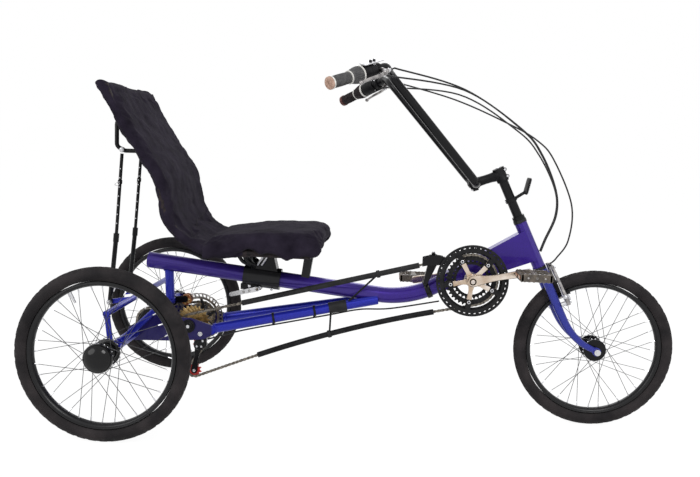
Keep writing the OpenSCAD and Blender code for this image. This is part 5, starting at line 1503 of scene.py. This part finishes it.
def build_front_derailleur():
    """Clamp with its bolt, linkage of two arms, spring barrel and a dished cage."""
    bend_r, angle = 300, math.radians(-66)
    base = TUBE_FRONT + bend_r * Vector((math.sin(TUBE_FALL), math.cos(TUBE_FALL))) + polar(bend_r, angle)
    tilt = angle + math.pi / 2
    s = Shape()
    band = [(25.4, -8), (28.4, -8), (29, -7), (29, 7), (28.4, 8), (25.4, 8)]
    s.add(*lathe(band, 64), place=turned_at(in_depth(base, 0), in_depth(polar(1, tilt), 0)))
    top = base + polar(27, tilt + math.pi / 2)
    body = [(top.x, top.y, 7), (FD_CAGE.x, FD_CAGE.y + 4, 12), (FD_CAGE.x + 8, FD_CAGE.y - 2, 9)]
    s.add(*slab(hull_outline(body), -36, 17, 3))
    s.add(*bead(in_depth(top, -30), ACROSS, 7.2, 16, 24, 1.5))
    hex_bolt(s, in_depth(top, -38), -ACROSS, 4.6, 3.6, mark=1)
    for dx, dz, r in ((-8, 14, 5.5), (9, 16, 5.0), (-10, -4, 4.6), (8, -6, 4.6)):
        s.add(*bead((FD_CAGE.x + dx, -46, FD_CAGE.y + dz), ACROSS, r, 13, 20, 1.2))
        hex_bolt(s, (FD_CAGE.x + dx, -52.5, FD_CAGE.y + dz), -ACROSS, r - 1.4, 2.4, mark=1)
    for dx in (-9, 8):
        link_arm = hull_outline([(FD_CAGE.x + dx, FD_CAGE.y + 15, 5), (FD_CAGE.x + dx - 1, FD_CAGE.y - 5, 4.4)])
        s.add(*slab(link_arm, -52, 3.2, 0.8))
    s.add(*bead((FD_CAGE.x, -49, FD_CAGE.y + 22), ACROSS, 6, 19, 20, 1.6))
    hex_bolt(s, (FD_CAGE.x + 1, -45, FD_CAGE.y + 26), (0, 0, 1), 4.2, 3.4, mark=1)
    s.add(*tube(smooth_path([(FD_CAGE.x + 1, -45, FD_CAGE.y + 26), (FD_CAGE.x + 10, -43, FD_CAGE.y + 16),
                             (FD_CAGE.x + 12, -40, FD_CAGE.y - 10)], 6), 0.9, 8), mark=1)
    n = 22
    for y in (CHAIN_Y - 9, CHAIN_Y + 9):
        low, high = [], []
        for k in range(n + 1):
            x = -33 + 66 * k / n
            low.append(FD_CAGE + Vector((x, -15 + 11 * k / n + 1.5 * math.sin(k * 0.28))))
            high.append(FD_CAGE + Vector((x, 9 + 12 * math.sin(math.pi * (0.12 + 0.62 * k / n)))))
        s.add(*slab(low + list(reversed(high)), y, 1.8, 0.5))
    for dx, dz in ((30, 17), (-30, -8)):
        spot = (FD_CAGE.x + dx, CHAIN_Y, FD_CAGE.y + dz)
        s.add(*tube([(spot[0], CHAIN_Y - 9.6, spot[2]), (spot[0], CHAIN_Y + 9.6, spot[2])], 3.0, 14), mark=1)
    s.piece("front_derailleur_parts", "frame", "black", "steel", angle=34, replaces=["front_derailleur"])


def build_rear_derailleur():
    """Body on its hanger bolt, cage with lightened plates, pulley bolts, barrel and cable."""
    s = Shape()
    body = hull_outline([(HANGER.x, HANGER.y, 11), (GUIDE.x + 6, GUIDE.y - 4, 13), (GUIDE.x - 3, GUIDE.y + 6, 10),
                         (JACK.x + 47, JACK.y - 60, 8), (JACK.x + 24, JACK.y - 66, 9)])
    s.add(*slab(body, -80.6, 11.6, 3.2))
    cover = [(JACK.x + 44, JACK.y - 46, 8), (JACK.x + 42, JACK.y - 62, 9), (JACK.x + 28, JACK.y - 62, 8)]
    s.add(*slab(hull_outline(cover), -88, 6.0, 1.8))
    for dx, dz in ((44, -46), (40, -64), (26, -64)):
        hex_bolt(s, (JACK.x + dx, -90.6, JACK.y + dz), -ACROSS, 3.4, 1.4, mark=1)
    s.add(*bead(in_depth(HANGER, -80.4), ACROSS, 10.4, 11.8, 28, 1.6))
    hex_bolt(s, in_depth(HANGER, -86), -ACROSS, 7, 1.0, mark=1)
    s.add(*bead(in_depth(GUIDE, -80), ACROSS, 13, 12.6, 32, 2.2))
    hex_bolt(s, in_depth(GUIDE, -86), -ACROSS, 6, 1.0, mark=1)
    for y in (CHAIN_Y - 6.5, CHAIN_Y + 6.5):
        plate = hull_outline([(GUIDE.x, GUIDE.y, 11), (TENSION.x, TENSION.y, 10)])
        way, dense = TENSION - GUIDE, []
        for a, b in zip(plate, plate[1:] + plate[:1]):
            parts = max(1, int((b - a).length / 6))
            for k in range(parts):
                q = a.lerp(b, k / parts)
                t = (q - GUIDE).dot(way) / way.length_squared
                foot = GUIDE + way * t
                dense.append(foot + (q - foot) * (1 - 0.4 * math.exp(-((t - 0.5) / 0.26) ** 2)))
        s.add(*slab(dense, y, 2.0, 0.5))
    for p in (GUIDE, TENSION):
        s.add(*rod(in_depth(p, CHAIN_Y - 7.4), in_depth(p, CHAIN_Y + 7.4), 2.9, 14), mark=1)
    hex_bolt(s, in_depth(TENSION, CHAIN_Y - 7.4), -ACROSS, 4.6, 1.2, mark=1)
    s.add(*tube([(HANGER.x + 13, -73, HANGER.y - 13), (HANGER.x + 3, -74, HANGER.y - 26),
                 (GUIDE.x + 14, -76, GUIDE.y - 6)], 1.0, 8), mark=1)
    s.add(*bead((HANGER.x + 9, -73.6, HANGER.y - 18), (0.5, 0, 0.8), 4.0, 8, 16, 1), mark=1)
    s.piece("rear_derailleur_parts", "frame", "black", "steel", angle=34, replaces=["rear_derailleur"])


def build_caliper():
    """Round drilled body in two halves with bolts, and its black bracket on the bridge."""
    c = JACK + Vector((-40, 56))
    s = Shape()
    for y0, y1, out in ((ROTOR_Y - 16, ROTOR_Y - 6.2, -1), (ROTOR_Y + 6.2, ROTOR_Y + 14, 1)):
        mid, thick = (y0 + y1) / 2, y1 - y0
        profile = [(4.5, -thick / 2), (15.6, -thick / 2), (17, -thick / 2 + 1.6), (17, thick / 2 - 1.6),
                   (15.6, thick / 2), (4.5, thick / 2)]
        s.add(*lathe(profile, 64), place=turned_at(in_depth(c, mid), ACROSS))
        face = y0 if out < 0 else y1
        for k in range(6):
            p = in_depth(c + polar(10.6, math.radians(60 * k + 20)), face)
            s.add(*lathe([(1.6, -0.4), (3.1, -0.4), (3.6, 0.5), (3.1, 1.2), (1.6, 0.8)], 20), mark=2,
                  place=turned_at(p, (0, out, 0)))
        s.add(*bead((c.x, face + out * 0.4, c.y), ACROSS, 5.4, 3.0, 24, 0.8), mark=2)
        hex_bolt(s, (c.x, face + out * 1.6, c.y), (0, out, 0), 3.8, 2.4, mark=3)
    for a in (60, 150, 240):
        p = c + polar(14.2, math.radians(a))
        if (p - JACK).length > 79.5:
            s.add(*rod(in_depth(p, ROTOR_Y - 15), in_depth(p, ROTOR_Y + 13), 2.6, 14), mark=3)
    bracket = hull_outline([(BRIDGE.x + 6, BRIDGE.y + 4, 10), (c.x - 4, c.y + 3, 11)])
    s.add(*slab(bracket, ROTOR_Y - 18.8, 4.6, 1.2), mark=1)
    band = [(12.5, -4.6), (16.2, -4.6), (17, -3.6), (17, 3.6), (16.2, 4.6), (12.5, 4.6)]
    s.add(*lathe(band, 40), mark=1, place=turned_at(in_depth(BRIDGE, ROTOR_Y - 13), ACROSS))
    s.piece("disc_caliper", "frame", "bronze", "black", "gold", "steel", angle=34, replaces=["brake_caliper"])


def weld(shape, centre, axis, radius, size=2.0, steps=72):
    """A bead of weld round a tube's end, with its overlapping ripples."""
    place = turned_at(centre, axis)
    ring = []
    for k in range(steps):
        a = 2 * math.pi * k / steps
        ring.append(place @ polar(radius + 0.5 * math.sin(a * 3), a).to_3d())
    sides, verts = 8, []
    for k, f in enumerate(path_frames(ring, closed=True)):
        verts += ring_points(f, size * (1.0 + 0.14 * math.cos(k * 2.1)), sides)
    shape.add(verts, grid_faces(steps, sides, closed=True))


def build_frame_details():
    """Weld beads, bearing rings, plate bolts and strut pins."""
    s = Shape()
    post_x = REAR_X + 78
    weld(s, (post_x + 0.4, 0, tube_z(post_x) - 25.5), (math.sin(TUBE_FALL), 0, math.cos(TUBE_FALL)), 14.6)
    weld(s, (BRIDGE.x - 0.6, 0, BRIDGE.y + 12.4), (0, 0, 1), 14.4)
    for side in (-1, 1):
        weld(s, (REAR_X - 11, side * 288, 337), (0, 0, 1), 8.6, 1.5)
        weld(s, (REAR_X - 1.8, side * 288, 262), (-0.12, 0, 1), 8.6, 1.5)
        brace_way = Vector((54, side * -175, 65))
        weld(s, Vector((REAR_X + 8, side * 264, 251)) + brace_way * 0.075, brace_way, 10.6, 1.7)
        weld(s, (REAR_X, side * 262, AXLE_Z + 0.001), ACROSS, 16.4, 0.9)
        way = Vector((667, side * -62, 103))
        weld(s, Vector((STAY_REAR.x, side * 79, STAY_REAR.z)) + way * 0.012, way, 15.5, 1.7)
    s.piece("frame_weld_beads", "frame", "rear_blue_painted_highlight", angle=60)

    s = Shape()
    weld(s, steer_at(0, HEAD_S + 1.2), STEER_UP, 19.4, 1.0)
    weld(s, steer_at(0, HEAD_TOP_S - 1.2), STEER_UP, 19.4, 1.0)
    s.piece("head_tube_rings", "frame", "blue", angle=60)

    s = Shape()
    for side in (-1, 1):
        s.add(*lathe([(9.2, 0), (20.4, 0), (20.8, 1), (20.4, 2.4), (15, 3), (9.2, 2.6)], 56), mark=0,
              place=turned_at((JACK.x, side * 97.05, JACK.y), (0, side, 0)))
        for dx, dz in ((-72, 10), (-30, -26), (36, -24)):
            spot = (JACK.x + dx, side * 93.05, JACK.y + dz)
            s.add(*bead(spot, ACROSS, 7.2, 1.6, 28, 0.4), mark=1)
            hex_bolt(s, (spot[0], side * 93.6, spot[2]), (0, side, 0), 5.2, 3.6, mark=1)
        for end, y in ((STRUT_FOOT, 94.4), (STRUT_TOP, 93.6)):
            hex_bolt(s, in_depth(end, side * y), (0, side, 0), 5.0, 3.4, mark=1)
            s.add(*bead(in_depth(end, side * 92.4), ACROSS, 6.8, 1.4, 24, 0.3), mark=1)
    s.piece("rear_bolts_and_rings", "frame", "plastic", "steel", angle=34)

    s = Shape()
    lo, hi = node_box("jackshaft")
    for side, end in ((-1, -lo.y), (1, hi.y)):
        s.add(*lathe([(5.2, 0), (12.6, 0), (13, 0.8), (12.4, 1.6), (5.6, 1.6)], 40),
              place=turned_at((JACK.x, side * (end + 0.05), JACK.y), (0, side, 0)))
    s.piece("jackshaft_end_rings", "jackshaft", "plastic", angle=34)

    s = Shape()
    top = STRUT_TOP + Vector((-1, -12))
    mid = Vector((REAR_X - 37, 790)) * 0.45 + STRUT_FOOT * 0.55
    for side in (-1, 1):
        for k in range(7):
            p = mid.lerp(top, 0.16 + 0.11 * k)
            y = 85.5 + 1.5 * (0.16 + 0.11 * k)
            s.add(*bead((p.x, side * y, p.y), ACROSS, 1.9, 11.6, 12, 0.4), mark=1)
        way = (top - mid).normalized()
        p = mid.lerp(top, 0.66)
        s.add(*bead((p.x, side * 86.5, p.y), (way.x, 0, way.y), 6.6, 12, 24, 1))
        s.add(*tube([(p.x, side * 79, p.y), (p.x, side * 96, p.y)], 1.6, 12), mark=1)
        loop = smooth_path([(p.x, side * 96, p.y), (p.x - 9, side * 98, p.y - 3), (p.x - 12, side * 96, p.y - 9),
                            (p.x - 5, side * 93, p.y - 11), (p.x + 1, side * 93, p.y - 4)], 6)
        s.add(*tube(loop, 0.9, 8), mark=1)
    s.piece("strut_pins", "frame", "plastic", "steel", angle=40)


def build_clamp_details():
    """Bolts and a curved tube pair on the seat clamp, and the quick-release lever."""
    x0 = REAR_X + 322
    s = Shape()
    for side in (-1, 1):
        for dx in (18, 50, 88):
            hex_bolt(s, (x0 + dx, side * 20, tube_z(x0 + dx) - 32), (0, side, 0), 4.6, 3.6, mark=1)
        for dx in (0, 16):
            line = smooth_path([(x0 + dx - 12, side * 72, 516), (x0 + dx - 9, side * 62, 494),
                                (x0 + dx + 2, side * 48, 474), (x0 + dx + 22, side * 34, 463)], 7)
            s.add(*tube(line, 6.0, 18))
        for dx in (0, 13):
            line = smooth_path([(x0 + dx + 44, side * 30, 463), (x0 + dx + 60, side * 42, 487),
                                (x0 + dx + 76, side * 58, 512)], 7)
            s.add(*tube(line, 3.4, 14), mark=1)
    s.piece("clamp_tubes_and_bolts", "frame", "black", "steel", angle=34)
    s = Shape()
    pin = Vector((x0 + 44, tube_z(x0) - 25 - 16))
    far = pin + Vector((-82, -21))
    outline = [pin + polar(8, math.radians(a)) for a in range(-75, 106, 15)]
    outline += [far + polar(6.5, math.radians(a)) for a in range(105, 286, 15)]
    s.add(*slab(outline, -25, 6.4, 1.8))
    s.add(*bead(in_depth(pin, -26), ACROSS, 7.6, 12, 28, 1.4))
    for t in (0.30, 0.52):
        s.add(*lathe([(1.8, 0), (3.4, 0), (3.6, 0.7), (1.8, 0.5)], 20), mark=1,
              place=turned_at(in_depth(pin.lerp(far, t), -28.2), -ACROSS))
    hex_bolt(s, in_depth(pin, -32), -ACROSS, 4.6, 3.0, mark=1)
    s.piece("quick_release_lever", "frame", "steel", "chain", angle=34, replaces=["clamp_lever"])


build_front_derailleur()
build_rear_derailleur()
build_caliper()
build_frame_details()
build_clamp_details()


# ---------------------------------------------------------------- finish of the CAD nodes that stay
FINISH = {
    "blue": ["main_tube", "boom"],
    "far_grip": ["seat_rails", "seat_cross_tubes"],
    "stay_blue_painted_highlight_and_shade": ["rear_stays"],
    "rear_blue_painted_highlight": ["rear_post", "axle_frame"],
    "fork_blue": ["fork"],
    "black": ["headset", "riser", "seat_clamp", "seat_front_post", "seat_bracket",
              "seat_struts", "right_hub", "left_hub"],
    "plastic": ["chain_tubes", "tube_hangers"],
    "steel": ["bottom_bracket", "jackshaft", "front_axle"],
}


def finish_nodes():
    """Gives the CAD meshes that stay in view their finish."""
    for finish, names in FINISH.items():
        for name in names:
            mesh = nodes[name].data
            mesh.materials.clear()
            mesh.materials.append(MAT[finish])
            mesh.polygons.foreach_set("material_index", [0] * len(mesh.polygons))


finish_nodes()


# ---------------------------------------------------------------- stage, lights and camera
def build_stage():
    """A pale floor that looks evenly lit from the camera."""
    floor_mat = new_material("pale_floor", (0.86, 0.86, 0.86), 0.9, specular=0.1)
    tree = floor_mat.node_tree
    glow = node(floor_mat, "ShaderNodeEmission", Strength=1.07)
    mix = node(floor_mat, "ShaderNodeMixShader")
    path = node(floor_mat, "ShaderNodeLightPath")
    share = node(floor_mat, "ShaderNodeMath", operation="MULTIPLY")
    share.inputs[1].default_value = 0.88
    seen = node(floor_mat, "ShaderNodeMath", operation="MAXIMUM")
    link(floor_mat, path.outputs["Is Camera Ray"], seen.inputs[0])
    link(floor_mat, path.outputs["Is Glossy Ray"], seen.inputs[1])
    link(floor_mat, seen.outputs[0], share.inputs[0])
    link(floor_mat, share.outputs[0], mix.inputs[0])
    link(floor_mat, tree.nodes["Principled BSDF"].outputs[0], mix.inputs[1])
    link(floor_mat, glow.outputs[0], mix.inputs[2])
    link(floor_mat, mix.outputs[0], tree.nodes["Material Output"].inputs["Surface"])
    mesh = bpy.data.meshes.new("floor")
    reach = 40
    corners = [(-reach, -reach, 0), (reach, -reach, 0), (reach, reach, 0), (-reach, reach, 0)]
    mesh.from_pydata(corners, [], [(0, 1, 2, 3)])
    mesh.materials.append(floor_mat)
    floor = bpy.data.objects.new("floor", mesh)
    bpy.context.scene.collection.objects.link(floor)


def build_world():
    """White surroundings, weaker as a light than they look."""
    world = bpy.data.worlds.new("studio")
    bpy.context.scene.world = world
    world.use_nodes = True
    tree = world.node_tree
    back = tree.nodes["Background"]
    back.inputs["Color"].default_value = (1, 1, 1, 1)
    path = tree.nodes.new("ShaderNodeLightPath")
    seen = tree.nodes.new("ShaderNodeMath")
    seen.operation = "MAXIMUM"
    strength = tree.nodes.new("ShaderNodeMapRange")
    strength.inputs["To Min"].default_value, strength.inputs["To Max"].default_value = 0.55, 1.0
    tree.links.new(path.outputs["Is Camera Ray"], seen.inputs[0])
    tree.links.new(path.outputs["Is Glossy Ray"], seen.inputs[1])
    tree.links.new(seen.outputs[0], strength.inputs["Value"])
    tree.links.new(strength.outputs["Result"], back.inputs["Strength"])


def soft_lamp(name, place, target, size, watts):
    """A round area lamp that looks at its target."""
    data = bpy.data.lights.new(name, "AREA")
    data.shape, data.size, data.energy = "DISK", size, watts
    lamp = bpy.data.objects.new(name, data)
    lamp.location = place
    lamp.rotation_euler = (Vector(target) - Vector(place)).to_track_quat("-Z", "Y").to_euler()
    bpy.context.scene.collection.objects.link(lamp)


def build_camera():
    """The photo's view."""
    yaw, pitch, roll = math.radians(2.41), math.radians(6.75), math.radians(2.30)
    ahead = Vector((-math.sin(yaw) * math.cos(pitch), math.cos(yaw) * math.cos(pitch), -math.sin(pitch)))
    right = Vector((math.cos(yaw), math.sin(yaw), 0))
    up = right.cross(ahead)
    turned_right = right * math.cos(roll) + up * math.sin(roll)
    turned_up = up * math.cos(roll) - right * math.sin(roll)
    data = bpy.data.cameras.new("camera")
    data.lens, data.sensor_width = 37.57, 36
    cam = bpy.data.objects.new("camera", data)
    rows = Matrix((turned_right, turned_up, -ahead)).transposed().to_4x4()
    cam.matrix_world = Matrix.Translation((0.034, -2.263, 0.823)) @ rows
    bpy.context.scene.collection.objects.link(cam)
    bpy.context.scene.camera = cam


build_stage()
build_world()
soft_lamp("key", (1.6, -3.2, 3.4), (0, 0, 0.4), 2.2, 105)
soft_lamp("fill", (-3.0, -2.4, 2.0), (-0.4, 0, 0.5), 2.5, 45)
soft_lamp("back", (0.4, 3.0, 2.6), (0, 0, 0.5), 2.5, 40)
build_camera()
bpy.context.scene.view_settings.view_transform = "Standard"
